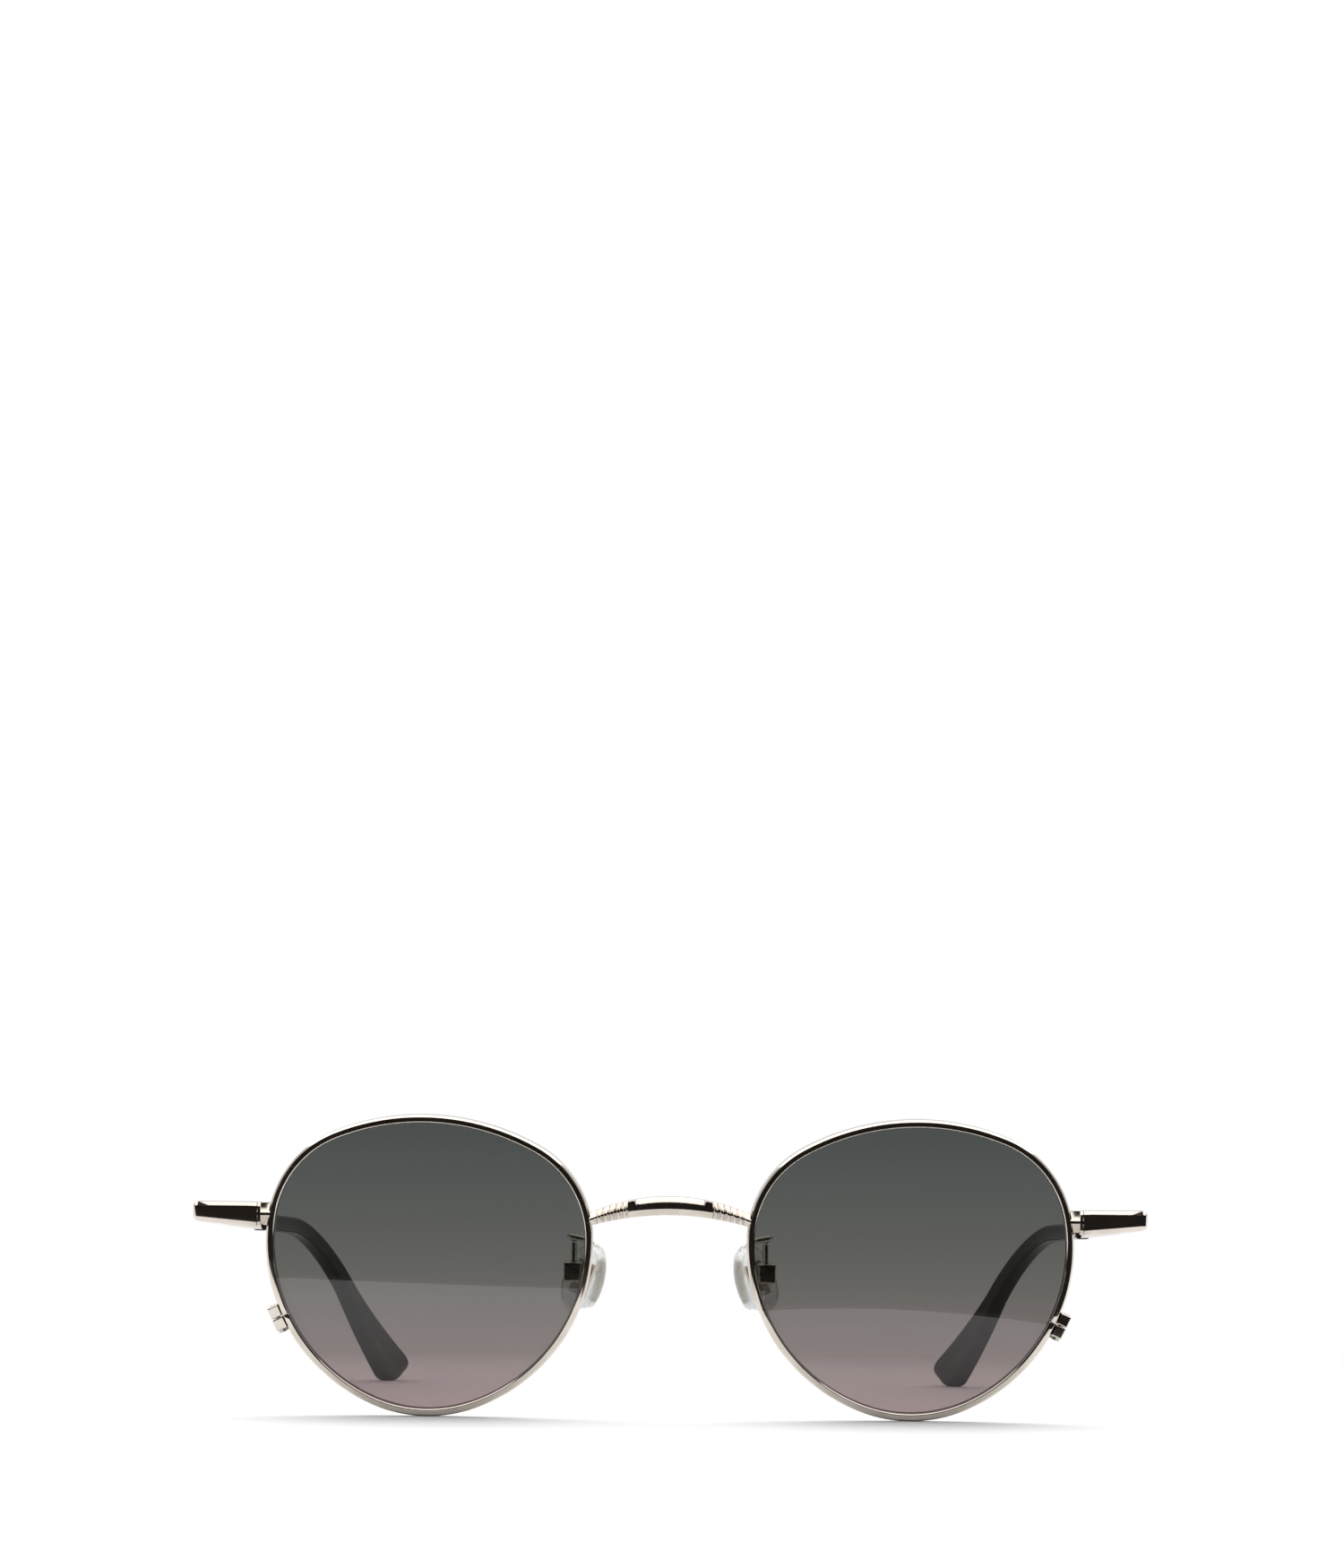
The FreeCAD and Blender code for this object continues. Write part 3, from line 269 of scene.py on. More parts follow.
def mirrored(piece, name):
    """The piece's twin on the other side of the face."""
    only(piece)
    bpy.ops.object.duplicate()
    twin = bpy.context.object
    twin.name = name
    twin.data.name = name
    twin.scale.x = -1
    bpy.ops.object.transform_apply(location=False, rotation=False, scale=True)
    bpy.ops.object.mode_set(mode="EDIT")
    bpy.ops.mesh.select_all(action="SELECT")
    bpy.ops.mesh.normals_make_consistent(inside=False)
    bpy.ops.object.mode_set(mode="OBJECT")
    return twin


def finished(piece, material, body, slot, *nodes):
    """Give a piece its shading, material and body, and hide the nodes that it stands for; the slot is not
    used.
    """
    only(piece)
    bpy.ops.object.shade_smooth_by_angle(angle=SMOOTH_ANGLE)
    piece.data.materials.clear()
    piece.data.materials.append(material)
    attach(piece, body)
    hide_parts(*nodes)
    return piece


def both_sides(piece, label, material, body, slot, node=None):
    """Finish the wearer's left piece and its mirrored twin."""
    twins = (piece, mirrored(piece, f"right_{label}"))
    for side, twin in zip(SIDES, twins):
        finished(twin, material, body.format(side=side), slot, f"{side}_{node or label}")
    return twins


def spread(first, last, count):
    """Evenly spaced numbers from first to last."""
    return [first + (last - first) * number / (count - 1) for number in range(count)]


# ---------------------------------------------------------------- places

def hinge_place():
    """Where the wearer's left temple hinges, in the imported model's frame."""
    hinge = next(joint for joint in frame["joints"] if joint["name"] == "left_temple_fold")
    return Vector(hinge["pos_m"])


def front_place(settings):
    """From the front's own frame, midway between the lens centres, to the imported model's frame."""
    front, bars, temples = settings.lens_and_rim, settings.bars, settings.temples
    tilt = Matrix.Rotation(front.front_tilt, 4, "X")
    arm_middle = endpiece_root(front, bars) + bars.endpiece_length - temples.arm_thickness / 2
    in_front = Vector((arm_middle - temples.arm_offset, bar_front(front) + bars.hinge_setback,
                       hinge_level(settings)))
    return Matrix.Translation(hinge_place() - tilt @ in_front) @ tilt


def endpiece_root(front, bars):
    """How far out from the middle an endpiece's flat bar starts."""
    return (front.lens_spacing + front.lens_width) / 2 + front.rim_web + bars.neck_length


def hinge_level(settings):
    """Height of the hinge in the front's frame; the endpiece's leg runs back in line with the temple."""
    bars = settings.bars
    turn = settings.temples.slope + settings.lens_and_rim.front_tilt
    return bars.endpiece_top - bars.endpiece_tip / 2 - bars.hinge_setback * math.sin(turn)


def lens_place(settings):
    """From the wearer's left lens, seen straight on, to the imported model's frame."""
    front = settings.lens_and_rim
    return (front_place(settings) @ Matrix.Translation((front.lens_spacing / 2, 0, 0))
            @ Matrix.Rotation(front.front_wrap, 4, "Z") @ Matrix.Rotation(-front.lens_roll, 4, "Y"))


def temple_place(settings):
    """From the temple's own frame, on the hinge's axis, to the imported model's frame."""
    return Matrix.Translation(hinge_place()) @ Matrix.Rotation(-settings.temples.slope, 4, "X")


def side_depth(front):
    """How far the wrap carries a lens's temple edge back."""
    return math.sin(front.front_wrap) * front.lens_width / 2


def bar_front(front):
    """Where the endpiece's front face lies; it stands a little proud of the rim's temple edge."""
    return side_depth(front) - 0.1 * MM


# ---------------------------------------------------------------- lens outline

def outline_arcs(front):
    """The six tangent arcs of the lens outline, as centre x, centre z, radius, first and last angle."""
    half_height = front.lens_height / 2
    top, corner = front.top_radius, front.corner_radius
    side, bottom = front.side_radius, front.bottom_radius
    corner_x = front.lens_width / 2 - corner
    top_z = half_height - top
    bottom_z = bottom - half_height
    corner_z = top_z + math.sqrt((top - corner) ** 2 - corner_x ** 2)
    span = Vector((corner_x, corner_z - bottom_z))
    along = (span.length_squared + (side - bottom) ** 2 - (side - corner) ** 2) / (2 * span.length)
    across = math.sqrt((side - bottom) ** 2 - along ** 2)
    unit = span.normalized()
    side_x = unit.x * along - unit.y * across
    side_z = bottom_z + unit.y * along + unit.x * across
    top_join = math.atan2(corner_z - top_z, corner_x)
    side_join = math.atan2(corner_z - side_z, corner_x - side_x)
    bottom_join = math.atan2(bottom_z - side_z, -side_x)
    turn = math.pi
    return [(side_x, side_z, side, bottom_join, side_join),
            (corner_x, corner_z, corner, side_join, top_join),
            (0, top_z, top, top_join, turn - top_join),
            (-corner_x, corner_z, corner, turn - top_join, turn - side_join),
            (-side_x, side_z, side, turn - side_join, turn - bottom_join),
            (0, bottom_z, bottom, turn - bottom_join, 2 * turn + bottom_join)]


def lock_normal(front):
    """The side arc's angle at the rim lock."""
    x, z, radius, _, _ = outline_arcs(front)[0]
    ray = Vector((math.cos(front.lock_angle), math.sin(front.lock_angle)))
    centre = Vector((x, z))
    along = ray.dot(centre)
    reach = radius + front.rim_web
    point = ray * (along + math.sqrt(along ** 2 - centre.length_squared + reach ** 2))
    return math.atan2(point.y - z, point.x - x)


def outline_walk(front, gap):
    """Centre, radius and angle at each stop round the outline, from above the lock round to below it."""
    arcs = outline_arcs(front)
    lock = lock_normal(front)
    half = gap / 2 / (arcs[0][2] + front.rim_web)
    x, z, radius, first, last = arcs[0]
    runs = [(x, z, radius, lock + half, last)] + arcs[1:] + [(x, z, radius, first, lock - half)]
    stops = []
    for x, z, radius, first, last in runs:
        count = max(2, math.ceil((last - first) / ARC_STEP) + 1)
        stops += [(x, z, radius, turn) for turn in spread(first, last, count)[:-1]]
    stops.append((runs[-1][0], runs[-1][1], runs[-1][2], runs[-1][4]))
    return stops


def on_outline(front, stop, outset, depth, share=1.0):
    """A point this far outside the lens outline, at a depth behind the rim's spherical front."""
    x, z, radius, turn = stop
    x = (x + (radius + outset) * math.cos(turn)) * share
    z = (z + (radius + outset) * math.sin(turn)) * share
    crown = math.sqrt(front.base_radius ** 2 - (front.lens_width / 2) ** 2)
    return Vector((x, crown - math.sqrt((front.base_radius - depth) ** 2 - x ** 2 - z ** 2), z))


# ---------------------------------------------------------------- materials

def add_node(tree, kind, settings=None, links=None):
    """Add a shader node, set its properties and inputs by name, and link inputs from other sockets."""
    node = tree.nodes.new(f"ShaderNode{kind}")
    for name, value in (settings or {}).items():
        if isinstance(name, str) and hasattr(node, name):
            setattr(node, name, value)
        else:
            node.inputs[name].default_value = value
    for name, socket in (links or {}).items():
        tree.links.new(socket, node.inputs[name])
    return node


def new_material(name):
    """An empty node material, and its tree."""
    material = bpy.data.materials.get(name) or bpy.data.materials.new(name)
    material.use_nodes = True
    material.node_tree.nodes.clear()
    return material, material.node_tree


def show(tree, shader, kind="Material"):
    """Send a shader to the output of a material, or of a world."""
    add_node(tree, f"Output{kind}", links={"Surface": shader})


def ramp(tree, factor, stops):
    """A colour ramp through (place, colour) stops."""
    node = add_node(tree, "ValToRGB", links={"Fac": factor})
    elements = node.color_ramp.elements
    while len(elements) < len(stops):
        elements.new(0.5)
    for element, (place, shade) in zip(elements, stops):
        element.position = place
        element.color = (*shade, 1.0)
    return node.outputs["Color"]


def mixed(tree, factor, first, second):
    """Two shaders mixed: the first where the factor is 0, the second where it is 1."""
    links = {"Fac": factor, 1: first, 2: second}
    return add_node(tree, "MixShader", links=links).outputs[0]


def noise(tree, spacing_mm, detail):
    """Noise of a real spacing, in the piece's own coordinates."""
    place = add_node(tree, "TexCoord").outputs["Object"]
    settings = {"Scale": 1 / (spacing_mm * MM), "Detail": detail}
    return add_node(tree, "TexNoise", settings, {"Vector": place}).outputs["Fac"]


def surface(tree, settings, shade, gloss, roughness, marks, strength, depth_mm):
    """A principled shader: gloss noise drives its roughness, and marks noise its bump."""
    sheen = add_node(tree, "MapRange", {"To Min": roughness[0], "To Max": roughness[1]},
                     {"Value": gloss})
    bump = add_node(tree, "Bump", {"Strength": strength, "Distance": depth_mm * MM},
                    {"Height": marks})
    links = {"Base Color": shade, "Roughness": sheen.outputs["Result"], "Normal": bump.outputs["Normal"]}
    return add_node(tree, "BsdfPrincipled", settings, links).outputs["BSDF"]


def metal(name, bright, dull, roughness, grain_mm, depth_mm):
    """Polished metal: faint cloudy dulling from handling, and fine buffing marks of a real spacing."""
    material, tree = new_material(name)
    haze = noise(tree, 3.5, 3.0)
    marks = noise(tree, grain_mm, 4.0)
    shade = ramp(tree, haze, [(0.35, dull), (0.62, bright)])
    shader = surface(tree, {"Metallic": 1.0}, shade, haze, roughness, marks, 0.25, depth_mm)
    show(tree, shader)
    return material


def nickel_silver_polished(colours):
    """Nickel silver, tumbled and buffed: a warm mirror, slightly clouded by handling."""
    return metal("nickel_silver_polished", colours.metal, blend_of(colours.metal, colours.metal_worn, 0.35),
                 (0.05, 0.14), 0.25, 0.0006)


def nickel_silver_tumbled(colours):
    """Nickel silver left as tumbled: softer reflections, as on small fittings that no wheel reaches."""
    return metal("nickel_silver_tumbled", colours.metal, colours.metal_worn, (0.16, 0.30), 0.12, 0.0015)


def steel_turned(colours):
    """Free-cutting steel, turned: grey, with fine tool marks."""
    return metal("steel_turned", colours.steel, blend_of(colours.steel, colours.metal_worn, 0.5),
                 (0.18, 0.34), 0.08, 0.002)


def blend_of(first, second, share):
    """A colour part of the way from the first to the second."""
    return [a + (b - a) * share for a, b in zip(first, second)]


def nylon_lens_graded(settings):
    """Moulded lens, dip-tinted: grey-green above, fading to a pale mauve below, with a hard clear gloss."""
    colours = settings.colours
    material, tree = new_material("nylon_lens_graded")
    place = add_node(tree, "TexCoord").outputs["Object"]
    cloud = noise(tree, 14, 1.0)
    low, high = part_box("left_lens")
    height = add_node(tree, "SeparateXYZ", links={"Vector": place}).outputs["Z"]
    waver = add_node(tree, "Math", {"operation": "MULTIPLY_ADD", 1: 0.8 * MM},
                     {0: cloud, 2: height})
    level = add_node(tree, "MapRange", {"From Min": low.z, "From Max": high.z},
                     {"Value": waver.outputs[0]})
    # a ray crosses two faces, so each face takes the root of the whole tint
    stops = [(0.03, colours.tint_bottom), (0.50, colours.tint_middle), (0.95, colours.tint_top)]
    tint = ramp(tree, level.outputs["Result"], stops)
    clear = add_node(tree, "BsdfTransparent", links={"Color": tint})
    gloss = add_node(tree, "BsdfGlossy", {"Color": WHITE, "Roughness": 0.02})
    fresnel = add_node(tree, "Fresnel", {"IOR": 1.5})
    both = mixed(tree, fresnel.outputs["Fac"], clear.outputs[0], gloss.outputs[0])
    show(tree, both)
    return material


def acetate_polished(colours):
    """Cellulose acetate, tumbled to a wet gloss: deep black with a barely warm mottle and faint swirls."""
    material, tree = new_material("acetate_polished")
    mottle = noise(tree, 4, 2.0)
    swirl = noise(tree, 0.6, 5.0)
    shade = ramp(tree, mottle,
                 [(0.3, colours.acetate), (0.75, blend_of(colours.acetate, colours.metal_worn, 0.02))])
    wet = {"IOR": 1.48, "Coat Weight": 0.3, "Coat Roughness": 0.06}
    shader = surface(tree, wet, shade, swirl, (0.10, 0.20), swirl, 0.15, 0.002)
    show(tree, shader)
    return material


def silicone_clear(colours):
    """Clear moulded silicone: soft-edged and slightly milky, with a satin skin."""
    material, tree = new_material("silicone_clear")
    cloud = noise(tree, 2, 2.0)
    skin = noise(tree, 0.3, 3.0)
    milky = blend_of(colours.pad, colours.metal_worn, 0.12)
    shade = ramp(tree, cloud, [(0.3, milky), (0.7, colours.pad)])
    clear_body = {"IOR": 1.41, "Transmission Weight": 0.9}
    body = surface(tree, clear_body, shade, skin, (0.12, 0.25), skin, 0.2, 0.003)
    clear = add_node(tree, "BsdfTransparent", links={"Color": shade})
    lamp = add_node(tree, "LightPath").outputs["Is Shadow Ray"]
    both = mixed(tree, lamp, body, clear.outputs[0])
    show(tree, both)
    return material


# ---------------------------------------------------------------- operators

class Step:
    """One step of the build, run with the settings that the scene holds."""

    def execute(self, context):
        self.build(context.scene.wire_glasses)
        return {"FINISHED"}


class WIREGLASSES_OT_rims(Step, bpy.types.Operator):
    """Draw each rim's grooved section round the lens outline, open at the lock"""
    bl_idname = "wireglasses.rims"
    bl_label = "Rims"

    def build(self, settings):
        front = settings.lens_and_rim
        web, lip, depth, bevel = front.rim_web, -front.rim_lip, front.rim_depth, front.rim_bevel
        groove_front, groove_back = depth / 2 - front.tongue, depth / 2 + front.tongue
        inner_bevel, back_bevel = front.rim_inner_bevel, 0.1 * MM
        section = [(lip + inner_bevel, 0), (web - bevel, 0), (web, bevel), (web, depth - 2 * back_bevel),
                   (web - 2 * back_bevel, depth), (lip + back_bevel, depth), (lip, depth - back_bevel),
                   (lip, groove_back), (0, groove_back), (0, groove_front), (lip, groove_front),
                   (lip, inner_bevel)]
        rings = [[on_outline(front, stop, outset, back) for outset, back in section]
                 for stop in outline_walk(front, front.rim_gap)]
        rim = softened(drawn_out("left_rim_wire", rings), 0.05 * MM)
        set_down(rim, lens_place(settings))
        both_sides(rim, "rim_wire", nickel_silver_polished(settings.colours), "front", "nickel_silver",
                   node="rim")


class WIREGLASSES_OT_lenses(Step, bpy.types.Operator):
    """Grow each lens outwards over its front, round its tongued edge and back in over its rear"""
    bl_idname = "wireglasses.lenses"
    bl_label = "Lenses"

    def build(self, settings):
        front = settings.lens_and_rim
        middle = front.rim_depth / 2
        face, rear = front.lens_setback, front.lens_setback + front.lens_thickness
        edge, tongue = -front.tongue, front.tongue
        shares = spread(0.03, 1.0, 14)
        loops = [(edge, face, share) for share in shares]
        loops += [(edge, middle - tongue, 1), (0, middle - tongue, 1), (0, middle + tongue, 1),
                  (edge, middle + tongue, 1)]
        loops += [(edge, rear, share) for share in reversed(shares)]
        walk = outline_walk(front, 0.0)[:-1]
        rings = [[on_outline(front, stop, outset, depth, share) for stop in walk]
                 for outset, depth, share in loops]
        lens = set_down(drawn_out("left_lens_blank", rings), lens_place(settings))
        both_sides(lens, "lens_blank", nylon_lens_graded(settings), "front", "tinted_lens", node="lens")


class WIREGLASSES_OT_bridge(Step, bpy.types.Operator):
    """Draw the arched bar across, faceted in its middle and engraved on its shoulders"""
    bl_idname = "wireglasses.bridge"
    bl_label = "Bridge"

    def build(self, settings):
        front, bars = settings.lens_and_rim, settings.bars
        middle = front.rim_depth / 2 - side_depth(front)
        face, back = middle - bars.bridge_depth / 2, middle + bars.bridge_depth / 2
        top_centre = bars.bridge_apex - bars.bridge_top_radius
        under_centre = bars.bridge_apex - bars.bridge_height - bars.bridge_under_radius
        back_bevel, foot, recess = 0.4 * MM, 0.62 * MM, 0.12 * MM
        notch_pitch, notch_depth, plain_end = 0.95 * MM, 0.45 * MM, 1.2 * MM

        def ring(x):
            reach = abs(x)
            top = top_centre + math.sqrt(bars.bridge_top_radius ** 2 - x ** 2)
            under = under_centre + math.sqrt(bars.bridge_under_radius ** 2 - x ** 2)
            lower = under + bars.lower_flat
            if reach <= bars.facet_end:
                upper, lean, front_y = top - bars.upper_flat, 0.7 * MM, face + recess
            elif reach <= bars.shoulder:
                upper, lean, front_y = top - 0.05 * MM, 0.03 * MM, face + recess
            else:
                wave = (reach - bars.shoulder) / notch_pitch
                notch = abs(math.sin(math.pi * wave)) if reach < bars.bridge_reach - plain_end else 0.5
                lower = under + (top - under) * 0.45
                upper = under + (top - under) * 0.60
                lean, front_y = 0.75 * MM, face + notch_depth * (1 - notch)
            return [Vector(point) for point in (
                (x, face + foot, under), (x, front_y, lower), (x, front_y, upper),
                (x, front_y + lean, top), (x, back - back_bevel, top), (x, back, top - back_bevel),
                (x, back, under + back_bevel), (x, back - back_bevel, under))]

        edges = (bars.facet_end, bars.facet_end + 0.35 * MM, bars.shoulder, bars.shoulder + 0.05 * MM)
        places = spread(0, edges[0], 12) + list(edges[1:]) + spread(edges[3], bars.bridge_reach, 60)[1:]
        places = [-x for x in reversed(places[1:])] + places
        bridge = softened(drawn_out("bridge_bar", [ring(x) for x in places]), 0.04 * MM)
        set_down(bridge, front_place(settings))
        finished(bridge, nickel_silver_polished(settings.colours), "front", "nickel_silver", "bridge")


class WIREGLASSES_OT_endpieces(Step, bpy.types.Operator):
    """Draw each flat bar out from its rim and round the corner back to the hinge"""
    bl_idname = "wireglasses.endpieces"
    bl_label = "Endpieces"

    def build(self, settings):
        front, bars, temples = settings.lens_and_rim, settings.bars, settings.temples
        root = endpiece_root(front, bars)
        tip = root + bars.endpiece_length
        face = bar_front(front)
        back = face + bars.endpiece_thickness
        top = bars.endpiece_top
        corner, crest, collar_ridge = 0.7 * MM, 0.42 * MM, 0.85 * MM

        def ring(outer, inner, under, upper_bevel, lower_bevel, inset=(0, 0), high=top):
            """The bar's section: outer and inner are plan points, inset points from outer to inner."""
            step = Vector(inset)
            plan = [(outer, high - upper_bevel), (outer + step, high), (inner, high),
                    (inner, under), (outer + step, under), (outer, under + lower_bevel)]
            return [Vector((place.x, place.y, level)) for place, level in plan]

        def bar(x, proud=0.0, trim=0.0, ridge=0.0):
            share = (x - root) / bars.endpiece_length
            height = bars.endpiece_root + (bars.endpiece_tip - bars.endpiece_root) * max(0.0, share)
            return ring(Vector((x, face - proud)), Vector((x, back)), top - height + trim,
                        bars.upper_bevel + ridge, bars.lower_bevel + ridge, (0, crest + ridge),
                        top - trim)

        # the neck, a plain collar and a narrow groove, each from where to where before the bar's root
        rings = []
        for first, last, proud, trim, ridge in (
                (bars.neck_length + 0.9 * MM, 0.52 * MM, -0.32 * MM, 0.16 * MM, collar_ridge),
                (0.50 * MM, 0.10 * MM, -0.10 * MM, 0.05 * MM, 0.0),
                (0.08 * MM, 0.02 * MM, -0.30 * MM, 0.12 * MM, collar_ridge)):
            rings += [bar(root - before, proud, trim, ridge) for before in (first, last)]
        rings.append(bar(root))
        rings += [bar(x) for x in spread(root + 1.2 * MM, tip - corner - 0.12 * MM, 6)]
        under = top - bars.endpiece_tip
        inner_corner = Vector((tip - temples.arm_thickness, back))
        for turn in spread(0.0, math.pi / 2, 7):
            outward = Vector((math.sin(turn), -math.cos(turn)))
            outer = Vector((tip - corner, face + corner)) + outward * corner
            rings.append(ring(outer, inner_corner, under, bars.upper_bevel, bars.lower_bevel * 0.9,
                              -outward * 0.4 * MM))
        # the leg behind the corner is square on the temple's slope, and stops just short of the hinge
        half, edge = temples.arm_height / 2, 0.2 * MM
        hinge = Vector((0, face + bars.hinge_setback, hinge_level(settings)))
        slant = Matrix.Rotation(-temples.slope - front.front_tilt, 3, "X")
        for along in (back - hinge.y + 0.4 * MM, -0.03 * MM):
            leg = [(tip, half - edge), (tip - edge, half), (tip - temples.arm_thickness, half),
                   (tip - temples.arm_thickness, -half), (tip - edge, -half), (tip, -half + edge)]
            rings.append([hinge + slant @ Vector((x, along, level)) for x, level in leg])
        endpiece = softened(drawn_out("left_endpiece_bar", rings), 0.05 * MM)
        set_down(endpiece, front_place(settings))
        both_sides(endpiece, "endpiece_bar", nickel_silver_polished(settings.colours), "front",
                   "nickel_silver", node="endpiece")


def temple_section(settings, along, drop, turn, half_thickness, half_height, section):
    """A ring of the temple: along and drop place its middle in the side view; turn is its bend."""
    temples = settings.temples
    join = math.asin(temples.bend_start / temples.bow)
    centre = Vector((temples.arm_offset - temples.bow, 0))
    radius = temples.bow
    if along > temples.bend_start:
        centre = centre + Vector((math.cos(join), math.sin(join))) * (temples.bow - temples.tip_bow)
        radius = temples.tip_bow
    ring = []
    for across, up in section:
        height = up * half_height
        y = along + height * math.sin(turn)
        z = drop + height * math.cos(turn)
        reach = radius + across * half_thickness
        ring.append(Vector((centre.x + math.sqrt(reach ** 2 - (y - centre.y) ** 2), y, z)))
    return ring


def length_after_bend(settings):
    """Straight length from the bend to the end of the tip, whose lower corner comes down to the floor."""
    temples = settings.temples
    hinge = temple_place(settings).translation
    inset = temples.tip_end_height / 2 - temples.tip_end_corner
    turn, slope = temples.bend_angle, temples.slope
    y = temples.bend_start + (temples.bend_radius - inset) * math.sin(turn)
    z = (temples.bend_radius - inset) * math.cos(turn) - temples.bend_radius
    height = hinge.z + z * math.cos(slope) - y * math.sin(slope)
    drop = math.sin(turn) * math.cos(slope) + math.cos(turn) * math.sin(slope)
    return (height - temples.tip_end_corner) / drop + temples.tip_end_corner


def temple_stops(temples, first, last, step):
    """Stops along the middle line: distance back, height, turn; last is measured after the bend."""
    count = math.ceil((temples.bend_start - first) / step) + 1
    stops = [(y, 0.0, 0.0) for y in spread(first, temples.bend_start, count)]
    for turn in spread(0.0, temples.bend_angle, 13)[1:]:
        stops.append((temples.bend_start + temples.bend_radius * math.sin(turn),
                      temples.bend_radius * (math.cos(turn) - 1), turn))
    y, z, turn = stops[-1]
    for run in last:
        stops.append((y + run * math.cos(turn), z - run * math.sin(turn), turn))
    return stops


SQUARE = [(1, 1), (-1, 1), (-1, -1), (1, -1)]


class WIREGLASSES_OT_temple_arms(Step, bpy.types.Operator):
    """Draw each flat metal arm back along its bow, and its core wire on into the tip"""
    bl_idname = "wireglasses.temple_arms"
    bl_label = "Temple arms"

    def build(self, settings):
        temples = settings.temples
        half_core = (temples.core_thickness / 2, temples.core_height / 2)
        half_arm = (temples.arm_thickness / 2, temples.arm_height / 2)
        rings = [temple_section(settings, y, 0.0, 0.0, *half_arm, SQUARE)
                 for y in spread(0.03 * MM, temples.arm_length, 30)]
        runs = spread(1 * MM, temples.core_drop, 5)
        rings += [temple_section(settings, *stop, *half_core, SQUARE)
                  for stop in temple_stops(temples, temples.arm_length, runs, 4 * MM)]
        arm = softened(drawn_out("left_arm_strip", rings), 0.12 * MM, 3, 40)
        set_down(arm, temple_place(settings))
        both_sides(arm, "arm_strip", nickel_silver_polished(settings.colours), "{side}_temple",
                   "nickel_silver", node="temple_arm")


class WIREGLASSES_OT_temple_tips(Step, bpy.types.Operator):
    """Draw each acetate tip back over the bend, widening to a paddle with a rounded end"""
    bl_idname = "wireglasses.temple_tips"
    bl_label = "Temple tips"

    def build(self, settings):
        temples = settings.temples
        half_thickness, edge = temples.tip_thickness / 2, temples.tip_edge
        corner = temples.tip_end_corner
        last = length_after_bend(settings)
        runs = spread(2 * MM, last - corner, 12)
        runs += [last - corner + corner * math.sin(turn) for turn in spread(0.0, math.radians(86), 9)[1:]]
        stops = temple_stops(temples, temples.arm_length, runs, 3 * MM)
        bent = len(stops) - len(runs)
        rings = []
        for number, stop in enumerate(stops):
            run = runs[number - bent] if number >= bent else 0.0
            widening = (temples.tip_end_height - temples.tip_height) * run / last
            half_height = (temples.tip_height + widening) / 2
            to_end = last - run
            if to_end < corner:
                half_height -= corner - math.sqrt(corner ** 2 - (corner - to_end) ** 2)
            thick = half_thickness
            if to_end < edge:
                thick -= edge - math.sqrt(edge ** 2 - (edge - to_end) ** 2)
            section = rounded_rectangle(thick, half_height, min(edge, 0.9 * half_height, 0.9 * thick), 5)
            rings.append(temple_section(settings, *stop, 1.0, 1.0, section))
        tip = set_down(drawn_out("left_tip_paddle", rings), temple_place(settings))
        both_sides(tip, "tip_paddle", acetate_polished(settings.colours), "{side}_temple", "black_acetate",
                   node="temple_tip")


def rounded_rectangle(half_width, half_height, radius, count):
    """Points round a rectangle with round corners."""
    points = []
    for quarter, (side, level) in enumerate(SQUARE):
        for turn in spread(quarter * math.pi / 2, (quarter + 1) * math.pi / 2, count):
            points.append((side * (half_width - radius) + radius * math.cos(turn),
                           level * (half_height - radius) + radius * math.sin(turn)))
    return points


